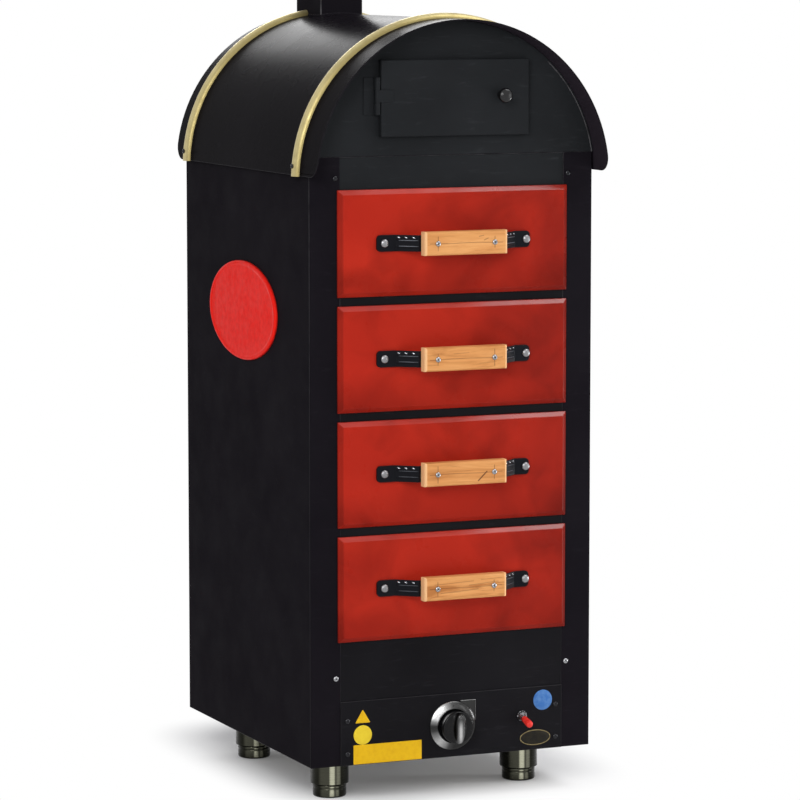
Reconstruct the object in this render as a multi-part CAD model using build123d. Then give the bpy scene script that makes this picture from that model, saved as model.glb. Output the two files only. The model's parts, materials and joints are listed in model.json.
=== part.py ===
from build123d import *
import math
import os

# Baked potato oven: a tall gas-fired sheet-metal cabinet with four enamelled drawers under a
# barrel-shaped hood, standing on four adjustable feet.
# Millimetres, +Z up, front facing -Y. Every piece is drawn with y = 0 on the front plane of the
# case, y growing to the rear; save() then moves it so that the origin lies on the floor under the
# middle of the outer box.

# Clearances
fit = 0.1              # between fixed pieces that lie against each other
running = 0.3          # between pieces that move past each other
shaft_slip = 0.05      # radial, between a round shank and its hole

# Case
sheet = 2.0
body_width = 450.0
body_depth = 510.0
leg_height = 65.0
panel_height = 95.0
fascia_height = 88.0
header_height = 47.4
stile_width = 46.5
stile_return = 25.0
stile_round = 1.5
flange = 15.0
rail_return = 15.0
header_recess = 1.5

# Control panel window and ventilation slots
window_margin = 38.0
window_height = 68.0
slot_length = 70.0
slot_width = 8.0
slot_pitch = 22.0
floor_slots = 7
rear_slots = 6
rear_slots_drop = 120.0

# Hood
hood_drop = 35.0
hood_skirt = 27.0
hood_gap = 2.6
canopy_front = 44.0
canopy_rear = 24.0
canopy_corner = 25.0
band_width = 20.0
band_height = 8.0
band_front_set = 31.0
band_rear_inset = 52.0
band_tail = 0.6

# Flue
flue_width = 70.0
flue_depth = 100.0
flue_inset = 11.4
flue_height = 150.0
flue_wall = 2.0
flue_rim = 1.5
flue_rim_height = 8.0
collar_wall = 1.5
collar_slip = 0.5
collar_rise = 28.0
collar_flange = 10.0

# Oven chamber
liner_sheet = 1.2
wool_side = 31.4
wool_rear = 22.2
baffle_rise = 157.5
baffle_front = 60.0
baffle_rear_gap = 30.0
baffle_slots = 9
baffle_slot_inset = 23.0

# Drawers
drawer_count = 4
drawer_height = 155.3
drawer_gap = 12.8
drawer_overlap = 4.5
drawer_proud = 8.0
bevel_width = 7.0
bevel_depth = 5.5
pocket_depth = 4.6
pocket_margin = 24.0
tray_side_gap = 6.5
tray_rise = 3.5
tray_height = 110.0
tray_rear_gap = 80.0
tray_hem = 8.0
tray_hole_radius = 7.0
tray_column_count = 6
tray_row_count = 7
runner_sheet = 1.5
runner_height = 16.0
runner_bearing = 12.0
runner_front_gap = 2.0
runner_rear_gap = 10.0

# Drawer handles
handle_screw_half = 113.0
strap_half = 125.0
strap_height = 24.0
strap_thick = 3.5
strap_foot = 96.0
strap_shoulder = 70.0
strap_round = 6.0
rib_proud = 2.0
rib_width = 3.0
rib_offset = 5.5
finger_gap = 22.0
grip_half = 65.5
grip_height = 34.5
grip_thick = 16.0
grip_bevel = 2.5
grip_screw_half = 45.0

# Screws
dome_share = 0.8
handle_head_radius = 6.0
handle_head_height = 3.5
handle_shank_radius = 2.5
handle_nut_radius = 4.5
handle_nut_height = 3.0
grip_head_radius = 4.0
grip_head_height = 2.5
grip_shank_radius = 2.0
case_head_radius = 4.0
case_head_height = 2.2
case_shank_radius = 2.0
case_shank_length = 7.0
stile_screw_inset = 7.0
stile_screw_rise = 35.0
header_screw_drop = 30.5
panel_screw_inset = 10.5
panel_screw_low = 17.0
panel_screw_high = 66.0
back_screw_rows = 3
back_screw_margin = 40.0
hood_screw_rise = 14.0
hood_screw_radius = 1.7
hood_screw_head = 3.5

# Hatch in the front gable
hatch_width = 235.0
hatch_height = 111.0
hatch_rise = 28.0
hatch_thick = 10.0
hatch_lap = 10.0
hatch_pocket = 7.0
hatch_round = 2.0
hinge_reach = 5.0
hinge_length = 54.0
hinge_radius = 4.0
hinge_pin_radius = 1.6
hinge_leaf = 1.5
hinge_leaf_width = 19.0
hinge_rise_share = 0.53
hatch_knob_inset = 45.5
hatch_knob_rise = 58.0
hatch_knob_radius = 11.0
hatch_knob_neck = 5.0
hatch_knob_neck_length = 11.0
hatch_knob_head = 11.0
hatch_knob_round = 4.4

# Gas control
control_rise = 47.0
bezel_radius = 36.75
bezel_rim = 31.0
bezel_height = 6.0
bezel_sheet = 1.5
bezel_hole = 8.0
lug_out = 37.0
lug_up = 33.0
lug_start = 10.0
knob_radius = 28.5
knob_lift = 4.5
knob_skirt = 12.0
knob_bar_width = 14.0
knob_bar_half = 27.0
knob_bar_height = 14.0
knob_skirt_round = 2.0
knob_bar_round = 3.0
knob_bore_spare = 1.0
push_travel = 3.5
spindle_radius = 4.0
spindle_flat = 3.0
spindle_depth = 28.0
spindle_grip = 16.0
tap_half = 13.0
tap_height = 34.0
tap_front = 6.0
tap_rear = 44.0
neck_radius = 9.0
bracket_half = 20.0

# Toggle switch
switch_x = 112.5
switch_rise = 53.0
switch_half = 8.0
switch_height = 24.0
switch_depth = 24.0
bushing_radius = 5.6
bushing_reach = 6.0
nut_radius = 8.0
nut_height = 3.0
pivot_set = 0.5
ball_radius = 3.0
stem_radius = 1.75
mouth_radius = 4.4
lever_angle = 15.0
sleeve_radius = 4.75
sleeve_start = 11.5
sleeve_end = 35.5

# Burner and gas line
burner_half = 70.0
burner_front = 90.0
burner_rear_gap = 60.0
burner_radius = 14.0
burner_wall = 1.5
port_count = 14
port_width = 2.0
port_length = 14.0
mixer_radius = 11.0
mixer_length = 26.0
stand_sheet = 2.0
stand_margin = 20.0
stand_bridge = 7.0
injector_radius = 4.0
injector_reach = 24.0
line_x = -150.0
line_rise = 40.0
line_radius = 6.0
line_front = 30.0
line_bend = 18.0
inlet_radius = 10.5
inlet_reach = 20.0
inlet_bore = 6.0

# Ignition
spark_x = 125.0
spark_set = 62.0
spark_width = 36.0
spark_depth = 30.0
spark_height = 26.0
spark_round = 3.0
electrode_set = 130.0
electrode_gap = 9.0
electrode_radius = 3.5
electrode_base = 7.0
electrode_rise = 40.0
electrode_tip = 1.2

# Badge on the left side
badge_half_length = 138.5
badge_half_height = 74.3
badge_thick = 7.0
badge_round = 3.0
badge_set = 262.0
badge_drop = 240.5

# Legs and feet
leg_radius = 28.5
leg_wall = 3.0
leg_inset_x = 70.0
leg_inset_y = 100.0
foot_radius = 25.0
foot_height = 20.0
foot_round = 3.0
foot_stem_radius = 6.0
foot_stem = 36.0
leg_plug = 6.0

# Heights from the floor up
body_half = body_width / 2
opening_half = body_half - stile_width
case_z = leg_height
fascia_z = case_z + panel_height
drawers_z = fascia_z + fascia_height
drawer_pitch = drawer_height + drawer_gap
header_z = drawers_z + drawer_count * drawer_pitch - drawer_gap
shoulder_z = header_z + header_height
floor_z = case_z + sheet
lip_z = case_z + panel_screw_low - case_head_radius
control_z = case_z + control_rise

# Depths behind the front plane: sheets are layered with a small fit between them
second_layer = sheet + fit
third_layer = 2 * second_layer
front_inner = opening_half - fit
inner_half = body_half - sheet
back_inner = body_depth - sheet

# Oven chamber: the wool lies between the liner and the case, a small fit from both
wool_fit = 2 * fit
liner_half = inner_half - 2 * wool_fit - wool_side - liner_sheet
liner_depth = back_inner - third_layer - 2 * wool_fit - wool_rear - liner_sheet
baffle_rear = liner_depth - baffle_rear_gap
burner_rear = liner_depth - burner_rear_gap
tray_half = opening_half - tray_side_gap
tray_depth = liner_depth - tray_rear_gap

# Hood: its inside clears the shoulders of the case by the hood gap
hood_z = shoulder_z - hood_drop
eave_z = shoulder_z - hood_skirt
hood_bore = math.hypot(body_half + hood_gap, hood_drop)
hood_radius = hood_bore + sheet
hood_rear = body_depth + canopy_rear
hood_top = hood_z + hood_radius
band_front_y = band_front_set
band_rear_y = hood_rear - band_rear_inset

# Handles, measured forward from the front plane
strap_back = drawer_proud + finger_gap
grip_back = strap_back + strap_thick
grip_face = grip_back + grip_thick
nut_seat = -running + fit + liner_sheet
front_reach = max(grip_face + grip_head_height, canopy_front)
front_y = (front_reach - hood_rear) / 2

# Hatch
hatch_half = hatch_width / 2
hatch_z = shoulder_z + hatch_rise
hinge_x = -hatch_half - hinge_reach
hinge_y = hinge_radius - hatch_thick - hinge_leaf - running
hinge_z = hatch_z + hatch_height * hinge_rise_share

# Controls
panel_front = -second_layer + fit
knob_back = panel_front - fit - bezel_sheet - knob_lift
knob_face = knob_back - knob_skirt - knob_bar_height
switch_z = case_z + switch_rise
bushing_y = panel_front - bushing_reach
spindle_end = knob_back - spindle_grip

# Flue: its rear face is a little ahead of the hood's rear edge
flue_set = hood_rear - flue_inset - flue_depth

# Flue collar: it stands inside the front part of the flue, ahead of the liner's rear wall
collar_half = flue_width / 2 - flue_wall - collar_slip
collar_front = flue_set + flue_wall + collar_slip
collar_rear = min(liner_depth, flue_set + flue_depth - flue_wall) - collar_slip

ANY_X = 2 * body_width
ANY_Y = 2 * body_depth
ANY_Z = 2 * shoulder_z
BAND_TURN = 300


def block(x0, x1, y0, y1, z0, z1):
    """Box between three pairs of coordinates."""
    centre = Pos((x0 + x1) / 2, (y0 + y1) / 2, (z0 + z1) / 2)
    return centre * Box(x1 - x0, y1 - y0, z1 - z0)


def rod(start, direction, radius, length):
    """Cylinder that starts at a point and runs along a direction."""
    along = Plane(origin=start, z_dir=direction)
    return along * Cylinder(radius, length, align=(Align.CENTER, Align.CENTER, Align.MIN))


def barrel(radius, y0, y1):
    """Cylinder on the hood's axis."""
    return rod((0, y0, hood_z), (0, 1, 0), radius, y1 - y0)


def dome_screw(seat, outward, head_radius, head_height, shank_radius, shank_length):
    """Screw whose domed head sits at a point and whose shank runs inward."""
    head = rod(seat, outward, head_radius, head_height)
    rim = head.edges().filter_by(GeomType.CIRCLE).sort_by(Axis(seat, outward))[-1]
    head = fillet(rim, head_height * dome_share)
    inward = tuple(-value for value in outward)
    return head + rod(seat, inward, shank_radius, shank_length)


def both_sides(piece):
    """A piece and its mirror image across the middle of the oven."""
    return [piece, mirror(piece, about=Plane.YZ)]


def save(name, *pieces):
    """Write one sub-part, moved so that the origin is under the middle of the box."""
    solids = [Pos(0, front_y, 0) * solid for piece in pieces for solid in piece.solids()]
    shape = solids[0] if len(solids) == 1 else Compound(solids)
    export_step(shape, f"parts/{name}.step")


# ---- Case ----

def side_panel():
    """Right-hand side: a web with folded edges behind the stile and the back panel."""
    edge = inner_half - flange
    web = block(inner_half, body_half, second_layer, body_depth, case_z, shoulder_z)
    front = block(edge, inner_half, second_layer, third_layer - fit, case_z, shoulder_z)
    rear = block(edge, inner_half, back_inner - second_layer, back_inner - fit, case_z, shoulder_z)
    panel = web + front + rear
    for screw_y in (band_front_y, band_rear_y):
        seat = (inner_half - sheet, screw_y, eave_z + hood_screw_rise)
        panel -= rod(seat, (1, 0, 0), hood_screw_radius + shaft_slip, flange)
    return panel


def front_stile():
    """Right-hand stile: front face and a return along the drawer opening."""
    face = block(opening_half, body_half, 0, sheet, case_z, shoulder_z)
    corner = face.edges().filter_by(Axis.Z).sort_by(lambda edge: edge.center().X - edge.center().Y)
    face = fillet(corner[-1], stile_round)
    inner = block(opening_half, opening_half + sheet, 0, stile_return, floor_z + fit, shoulder_z)
    stile = face + inner
    for x, z in stile_screw_places():
        stile -= rod((x, -fit, z), (0, 1, 0), case_shank_radius + shaft_slip, sheet + 2 * fit)
    return stile


def stile_screw_places():
    """Centres of the screws in the right-hand stile."""
    x = opening_half + stile_screw_inset
    return [(x, fascia_z + stile_screw_rise), (x, shoulder_z - header_screw_drop)]


def base_pan():
    """Floor of the case with an upturned lip at front and rear and air slots for the burner."""
    side = inner_half - fit
    front_edge = third_layer
    rear_edge = back_inner - third_layer + fit
    lip_half = min(opening_half, inner_half - flange) - 2 * fit
    pan = block(-side, side, front_edge, rear_edge, case_z, floor_z)
    pan += block(-lip_half, lip_half, second_layer, front_edge, case_z, lip_z)
    pan += block(-lip_half, lip_half, rear_edge, back_inner - fit, case_z, lip_z)
    row = (floor_slots - 1) * slot_pitch / 2
    for number in range(floor_slots):
        middle = body_depth / 2 - row + number * slot_pitch
        pan -= block(-slot_length / 2, slot_length / 2, middle - slot_width / 2,
                     middle + slot_width / 2, case_z - fit, floor_z + fit)
    return pan


def back_panel():
    """Rear cover with two columns of slots and the hole for the gas inlet."""
    side = inner_half - fit
    panel = block(-side, side, back_inner, body_depth, case_z, shoulder_z)
    top = shoulder_z - rear_slots_drop
    for column in (-1, 1):
        middle = column * slot_length
        for number in range(rear_slots):
            z = top - number * slot_pitch
            panel -= block(middle - slot_length / 2, middle + slot_length / 2, back_inner - fit,
                           body_depth + fit, z - slot_width / 2, z + slot_width / 2)
    panel -= rod((line_x, back_inner - fit, case_z + line_rise), (0, 1, 0),
                 inlet_radius + shaft_slip, sheet + 2 * fit)
    for x, z in back_screw_places():
        panel -= rod((x, back_inner - fit, z), (0, 1, 0), case_shank_radius + shaft_slip,
                     sheet + 2 * fit)
    return panel


def back_screw_places():
    """Centres of the screws down both edges of the back panel."""
    x = inner_half - flange / 2
    step = (shoulder_z - case_z - 2 * back_screw_margin) / (back_screw_rows - 1)
    heights = [case_z + back_screw_margin + row * step for row in range(back_screw_rows)]
    return [(side * x, z) for side in (-1, 1) for z in heights]


def header_panel():
    """Plain front above the top drawer, set back a little between the stiles."""
    low = header_z - drawer_overlap
    return block(-front_inner, front_inner, header_recess, header_recess + sheet, low, shoulder_z)


def drawer_rail(level):
    """Folded rail between two drawer openings."""
    low = drawers_z + level * drawer_pitch - drawer_gap - drawer_overlap
    high = low + drawer_gap + 2 * drawer_overlap
    outer = block(-front_inner, front_inner, 0, rail_return, low, high)
    return outer - block(-body_half, body_half, sheet, body_depth, low + sheet, high - sheet)


def lower_fascia():
    """Front from the floor of the case to the lowest drawer, with a window for the controls."""
    top = drawers_z + drawer_overlap
    fascia = block(-front_inner, front_inner, 0, sheet, case_z, top)
    fascia += block(-front_inner, front_inner, 0, rail_return, top - sheet, top)
    window = opening_half - window_margin
    fascia -= block(-window, window, -fit, sheet + fit, control_z - window_height / 2,
                    control_z + window_height / 2)
    return fascia - panel_screw_holes()


def control_panel():
    """Removable plate over the window that carries the tap, the switch and the labels."""
    plate = block(-front_inner, front_inner, panel_front, -fit, case_z, fascia_z)
    plate -= rod((0, panel_front - fit, control_z), (0, 1, 0), bezel_hole, sheet + 2 * fit)
    plate -= rod((switch_x, panel_front - fit, switch_z), (0, 1, 0),
                 bushing_radius + shaft_slip, sheet + 2 * fit)
    return plate - panel_screw_holes()


def panel_screw_places():
    """Centres of the four screws of the control panel."""
    x = opening_half - panel_screw_inset
    return [(side * x, case_z + rise) for side in (-1, 1)
            for rise in (panel_screw_low, panel_screw_high)]


def panel_screw_holes():
    """The four screw holes through the control panel and the fascia."""
    start = panel_front - fit
    holes = [rod((x, start, z), (0, 1, 0), case_shank_radius + shaft_slip, 2 * third_layer)
             for x, z in panel_screw_places()]
    return Compound(holes)


# ---- Hood, gables and flue ----

def above(height):
    """Everything higher than a level."""
    return block(-ANY_X, ANY_X, -ANY_Y, ANY_Y, height, ANY_Z)


def gable(plate_y, flange_y):
    """Arched end plate with a folded rim that carries the hood."""
    rim_radius = hood_bore - fit
    disc = barrel(rim_radius, plate_y, plate_y + sheet)
    low, high = min(plate_y, flange_y), max(plate_y + sheet, flange_y)
    rim = barrel(rim_radius, low, high) - barrel(rim_radius - sheet, low - fit, high + fit)
    return (disc + rim) & above(shoulder_z + fit)


def arch_front():
    """Front gable with the hatch opening."""
    half = hatch_half - hatch_lap
    low, high = hatch_z + hatch_lap, hatch_z + hatch_height - hatch_lap
    return gable(0, sheet + flange) - block(-half, half, -fit, sheet + fit, low, high)


def roof_shell():
    """Rolled hood with rounded lower corners and the hole for the flue collar."""
    shell = barrel(hood_radius, -canopy_front, hood_rear)
    shell -= barrel(hood_bore, -canopy_front - fit, hood_rear + fit)
    outline = block(-ANY_X, ANY_X, -canopy_front, hood_rear, eave_z, ANY_Z)
    lower = outline.edges().filter_by(Axis.X).sort_by(Axis.Z)[:2]
    shell &= fillet(lower, canopy_corner)
    shell -= block(-collar_half - collar_slip, collar_half + collar_slip,
                   collar_front - collar_slip, collar_rear + collar_slip, hood_z, ANY_Z)
    for screw in hood_screws(shaft_slip):
        shell -= screw
    return shell


def roof_band(band_y):
    """Half-round trim bent over the hood, cut away where the flue stands on it."""
    inner, half = hood_radius + fit, band_width / 2
    start, end = (0, band_y - half, hood_z + inner), (0, band_y + half, hood_z + inner)
    crown = (0, band_y, hood_z + inner + band_height)
    axis = Axis((0, 0, hood_z), (0, 1, 0))
    section = make_face(ThreePointArc(start, crown, end) + Line(end, start))
    band = revolve(section.rotate(axis, -BAND_TURN / 2), axis, BAND_TURN)
    half = flue_width / 2 + fit
    flue = block(-half, half, flue_set - fit, flue_set + flue_depth + fit, hood_z, ANY_Z)
    return (band & above(eave_z - band_tail)) - [flue, *hood_screws(shaft_slip)]


def hood_screws(slip=0):
    """Four screws through the feet of the bands, the hood and the sides of the case."""
    crown = hood_radius + fit + band_height
    z = eave_z + hood_screw_rise
    seat_x = math.sqrt(crown ** 2 - (z - hood_z) ** 2)
    screws = []
    for y in (band_front_y, band_rear_y):
        screw = dome_screw((seat_x, y, z), (1, 0, 0), hood_screw_head, case_head_height,
                           hood_screw_radius + slip, seat_x - inner_half)
        screws += both_sides(screw)
    return screws


def flue_pipe():
    """Rectangular flue, its foot coped to the hood, with a turned rim at the top."""
    half, y0, y1 = flue_width / 2, flue_set, flue_set + flue_depth
    top = hood_top + flue_height
    pipe = block(-half, half, y0, y1, hood_z, top)
    pipe += block(-half - flue_rim, half + flue_rim, y0 - flue_rim, y1 + flue_rim,
                  top - flue_rim_height, top)
    pipe -= block(-half + flue_wall, half - flue_wall, y0 + flue_wall, y1 - flue_wall,
                  hood_z - fit, top + fit)
    return pipe - barrel(hood_radius + fit, y0 - flange, y1 + flange)


def flue_collar():
    """Duct from the chamber ceiling through the hood into the flue."""
    foot = shoulder_z + second_layer + fit
    half, wing = collar_half, collar_flange
    duct = block(-half, half, collar_front, collar_rear, foot, hood_top + collar_rise)
    duct += block(-half - wing, half + wing, collar_front - wing, collar_rear + wing, foot,
                  foot + collar_wall)
    return duct - collar_bore(foot - fit, hood_top + collar_rise + fit)


def collar_bore(low, high):
    """The clear way through the flue collar between two levels."""
    half = collar_half - collar_wall
    return block(-half, half, collar_front + collar_wall, collar_rear - collar_wall, low, high)


# ---- Oven chamber ----

def chamber_liner():
    """Sides and rear wall of the oven chamber, standing on the base pan."""
    outer = liner_half + liner_sheet
    low, high = floor_z + fit, shoulder_z - fit
    liner = block(-outer, outer, second_layer, liner_depth + liner_sheet, low, high)
    liner -= block(-liner_half, liner_half, 0, liner_depth, low - fit, high + fit)
    return liner - gas_line_way(line_radius + shaft_slip)


def gas_line_way(radius):
    """Space of the straight gas line through the rear of the oven."""
    start = liner_depth - flange
    return rod((line_x, start, case_z + line_rise), (0, 1, 0), radius, body_depth - start)


def chamber_ceiling():
    """Top of the chamber and floor of the warming compartment under the hood."""
    half = body_half - fit
    low = shoulder_z + fit
    plate = block(-half, half, second_layer, back_inner - fit, low, low + sheet)
    return plate - collar_bore(low - fit, low + sheet + fit)


def insulation():
    """Mineral wool slabs at both sides and behind the liner."""
    low, high = floor_z + wool_fit, shoulder_z - wool_fit
    front, rear = third_layer + wool_fit, back_inner - third_layer - wool_fit
    half = liner_half + liner_sheet
    side = block(half + wool_fit, half + wool_fit + wool_side, front, rear, low, high)
    behind = block(-half, half, rear - wool_rear, rear, low, high)
    return both_sides(side) + [behind - gas_line_way(line_radius + fit)]


def drawer_low(level):
    """Height of the lower edge of a drawer front; level 0 is the lowest drawer."""
    return drawers_z + level * drawer_pitch


def tray_low(level):
    """Height of the underside of a tray."""
    return drawer_low(level) + drawer_overlap + tray_rise


def drawer_runner(level):
    """Right-hand angle that a tray slides on."""
    top = tray_low(level) - running
    low, front = top - runner_sheet, stile_return + runner_front_gap
    rear = liner_depth - runner_rear_gap
    wall = liner_half - fit
    shelf = block(tray_half - runner_bearing, wall, front, rear, low, top)
    return shelf + block(wall - runner_sheet, wall, front, rear, low, low + runner_height)


def baffle_plate():
    """Heat spreader over the burner: a folded plate with slots along both sides."""
    half, low = liner_half - fit, case_z + baffle_rise
    high = low + flange
    plate = block(-half, half, baffle_front, baffle_rear, low, high)
    plate -= block(-half + liner_sheet, half - liner_sheet, 0, body_depth, low - fit,
                   high - liner_sheet)
    step = (baffle_rear - baffle_front) / baffle_slots
    for number in range(baffle_slots):
        y = baffle_front + (number + 0.5) * step
        slot = block(half - slot_length, half - baffle_slot_inset, y - slot_width / 2,
                     y + slot_width / 2, low, high + fit)
        plate -= Compound(both_sides(slot))
    return plate


# ---- Drawers ----

def pan_front(half, low, height, thick, pocket, margin):
    """Formed front: a slab with a pocket behind it, its back just clear of the frame."""
    slab = block(-half, half, -thick, -running, low, low + height)
    hollow = block(-half + margin, half - margin, -running - pocket, 0, low + margin,
                   low + height - margin)
    return slab, hollow


def drawer_front(level):
    """Enamelled drawer front with a bevel all round."""
    low = drawer_low(level)
    half = opening_half + drawer_overlap
    slab, hollow = pan_front(half, low, drawer_height, drawer_proud, pocket_depth, pocket_margin)
    face = slab.faces().sort_by(Axis.Y)[0]
    slab = chamfer(face.edges(), bevel_width, bevel_depth, reference=face)
    middle = low + drawer_height / 2
    return slab - hollow - handle_screw_holes(middle)


def handle_screw_holes(middle):
    """Holes for the two screws that hold a handle."""
    start = -drawer_proud - strap_thick - fit
    hole = rod((handle_screw_half, start, middle), (0, 1, 0), handle_shank_radius + shaft_slip,
               nut_seat + fit - start)
    return Compound(both_sides(hole))


def drawer_tray(level):
    """Open steel tray: a perforated floor, and walls with a turned-in hem that stand on it."""
    low, wall = tray_low(level), liner_sheet
    front = -running + fit
    rear, high = front + tray_depth, low + tray_height
    floor = block(-tray_half, tray_half, front, rear, low, low + wall)
    step_x, step_y = 2 * tray_half / tray_column_count, tray_depth / tray_row_count
    holes = [rod((-tray_half + (column + 0.5) * step_x, front + (row + 0.5) * step_y, low - fit),
                 (0, 0, 1), tray_hole_radius, wall + 2 * fit)
             for column in range(tray_column_count) for row in range(tray_row_count)]
    walls = block(-tray_half, tray_half, front, rear, low + wall + fit, high)
    walls -= block(-tray_half + wall, tray_half - wall, front + wall, rear - wall, low,
                   high - wall)
    hem = wall + tray_hem
    walls -= block(-tray_half + hem, tray_half - hem, front + hem, rear - hem, low, high + fit)
    walls -= handle_screw_holes(drawer_low(level) + drawer_height / 2)
    return floor - Compound(holes), walls


def drawer_bracket(level):
    """Black strap that carries the grip, with two ribs along each ramp."""
    middle = drawer_low(level) + drawer_height / 2
    low, high = middle - strap_height / 2, middle + strap_height / 2
    strap = extruded(strap_profile(0, strap_thick), low, high)
    ends = strap.edges().filter_by(Axis.Y).group_by(SortBy.LENGTH)[0]
    strap = fillet([edge for edge in ends if abs(edge.center().X) > strap_foot], strap_round)
    for offset in (-rib_offset, rib_offset):
        z = middle + offset
        rib = extruded(ramp_profile(), z - rib_width / 2, z + rib_width / 2)
        strap += rib + mirror(rib, about=Plane.YZ)
    return strap - handle_screw_holes(middle) - grip_screw_holes(middle)


def extruded(points, low, high):
    """Solid of a plan outline between two heights."""
    corners = [(x, y, low) for x, y in points]
    face = make_face(Polyline(*corners, close=True))
    return extrude(face, high - low, dir=(0, 0, 1))


def strap_profile(back, face):
    """Plan outline of the whole strap: pads, ramps and the bar behind the grip."""
    right = strap_line(back) + strap_line(face)[::-1]
    left = [(-x, y) for x, y in right]
    bar = len(right) // 2
    return right[:bar] + left[:bar][::-1] + left[bar:][::-1] + right[bar:]


def strap_line(offset):
    """Right half of the strap's course, a distance forward of its back."""
    rise, run = finger_gap, strap_foot - strap_shoulder
    shift = offset * (math.hypot(rise, run) - run) / rise
    return [(strap_half, -drawer_proud - offset), (strap_foot - shift, -drawer_proud - offset),
            (strap_shoulder - shift, -strap_back - offset)]


def ramp_profile():
    """Plan outline of a rib on the right-hand ramp."""
    base = strap_line(strap_thick / 2)[1:]
    face = strap_line(strap_thick + rib_proud)[1:]
    end_x = max(face[1][0], grip_half + fit)
    return base + [(end_x, face[1][1])] + [face[0]]


def grip_screw_holes(middle):
    """Holes for the two screws that hold a grip to its strap."""
    hole = rod((grip_screw_half, -grip_face - fit, middle), (0, 1, 0),
               grip_shank_radius + shaft_slip, grip_thick + strap_thick + 2 * fit)
    return Compound(both_sides(hole))


def drawer_grip(level):
    """Wooden grip in front of the strap."""
    middle = drawer_low(level) + drawer_height / 2
    grip = block(-grip_half, grip_half, -grip_face, -grip_back - fit, middle - grip_height / 2,
                 middle + grip_height / 2)
    grip = chamfer(grip.faces().sort_by(Axis.Y)[0].edges(), grip_bevel)
    return grip - grip_screw_holes(middle)


def drawer_screws(level):
    """Two handle screws with nuts inside the tray, and two grip screws."""
    middle = drawer_low(level) + drawer_height / 2
    seat = -drawer_proud - strap_thick
    length = nut_seat + handle_nut_height - seat
    handle = dome_screw((handle_screw_half, seat, middle), (0, -1, 0), handle_head_radius,
                        handle_head_height, handle_shank_radius, length)
    handle += rod((handle_screw_half, nut_seat + fit, middle), (0, 1, 0), handle_nut_radius,
                  handle_nut_height)
    grip = dome_screw((grip_screw_half, -grip_face, middle), (0, -1, 0), grip_head_radius,
                      grip_head_height, grip_shank_radius, grip_thick + strap_thick)
    return both_sides(handle) + both_sides(grip)


# ---- Hatch ----

def hatch_panel():
    """Door of the warming compartment."""
    slab, hollow = pan_front(hatch_half, hatch_z, hatch_height, hatch_thick + running,
                             hatch_pocket, hatch_lap)
    face = slab.faces().sort_by(Axis.Y)[0]
    return fillet(face.edges(), hatch_round) - hollow


def knuckle(low, high):
    """Stretch of the hinge barrel."""
    return rod((hinge_x, hinge_y, low), (0, 0, 1), hinge_radius, high - low)


def pin_hole():
    """Bore through the hinge barrel."""
    return rod((hinge_x, hinge_y, hinge_z - hinge_length), (0, 0, 1),
               hinge_pin_radius + shaft_slip, 2 * hinge_length)


def hatch_leaf():
    """Leaf on the face of the door with the middle knuckle."""
    half = hinge_length / 6 - running / 2
    face = -hatch_thick - running - fit
    leaf = block(hinge_x, hinge_x + hinge_reach + hinge_leaf_width, face - hinge_leaf, face,
                 hinge_z - half, hinge_z + half)
    leaf += knuckle(hinge_z - half, hinge_z + half)
    return leaf - pin_hole()


def hatch_hinge():
    """Fixed leaf on the gable with the outer knuckles, and the hinge pin."""
    half, third = hinge_length / 2, hinge_length / 6
    left = hinge_x - hinge_leaf_width
    leaf = block(left, hinge_x - hinge_radius / 2, -fit - hinge_leaf, -fit, hinge_z - half,
                 hinge_z + half)
    for low, high in ((hinge_z - half, hinge_z - third), (hinge_z + third, hinge_z + half)):
        leaf += knuckle(low, high)
        leaf += block(hinge_x - hinge_radius, hinge_x - hinge_radius / 2, hinge_y, -fit, low, high)
    pin = rod((hinge_x, hinge_y, hinge_z - half), (0, 0, 1), hinge_pin_radius, hinge_length)
    return leaf - pin_hole(), pin


def hatch_knob():
    """Round pull on the hatch."""
    x, z = hatch_half - hatch_knob_inset, hatch_z + hatch_knob_rise
    face = -hatch_thick - running - fit
    neck = rod((x, face, z), (0, -1, 0), hatch_knob_neck, hatch_knob_neck_length)
    head = rod((x, face - hatch_knob_neck_length, z), (0, -1, 0), hatch_knob_radius,
               hatch_knob_head)
    rims = head.edges().filter_by(GeomType.CIRCLE)
    return neck + fillet(rims, hatch_knob_round)


# ---- Gas control and switch ----

def knob_bezel():
    """Dished ring round the knob with one square-cornered lug."""
    seat = panel_front - fit
    floor, crest = seat - bezel_sheet, seat - bezel_height
    outline = [(bezel_hole, seat), (bezel_radius, seat), (bezel_radius, floor - bezel_sheet),
               (bezel_rim + bezel_sheet, crest), (bezel_rim, crest),
               (bezel_rim - bezel_sheet / 2, floor), (bezel_hole, floor)]
    corners = [(radius, y, control_z) for radius, y in outline]
    section = make_face(Polyline(*corners, close=True))
    ring = revolve(section, Axis((0, 0, control_z), (0, 1, 0)), 360)
    lug = block(lug_start, lug_out, floor, seat, control_z + lug_start, control_z + lug_up)
    return ring + (lug - rod((0, seat, control_z), (0, -1, 0), bezel_rim, bezel_height))


def spindle(radius, flat, y0, y1):
    """Tap stem with a flat that turns the knob, between two depths."""
    stem = rod((0, y0, control_z), (0, 1, 0), radius, y1 - y0)
    keyed = block(-radius, flat, y0 - fit, panel_front, control_z - radius, control_z + radius)
    plain = block(-radius, radius, panel_front, y1 + fit, control_z - radius, control_z + radius)
    return stem & (keyed + plain)


def tap_spindle():
    """Stem of the gas tap."""
    return spindle(spindle_radius, spindle_flat, spindle_end, spindle_depth)


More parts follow.
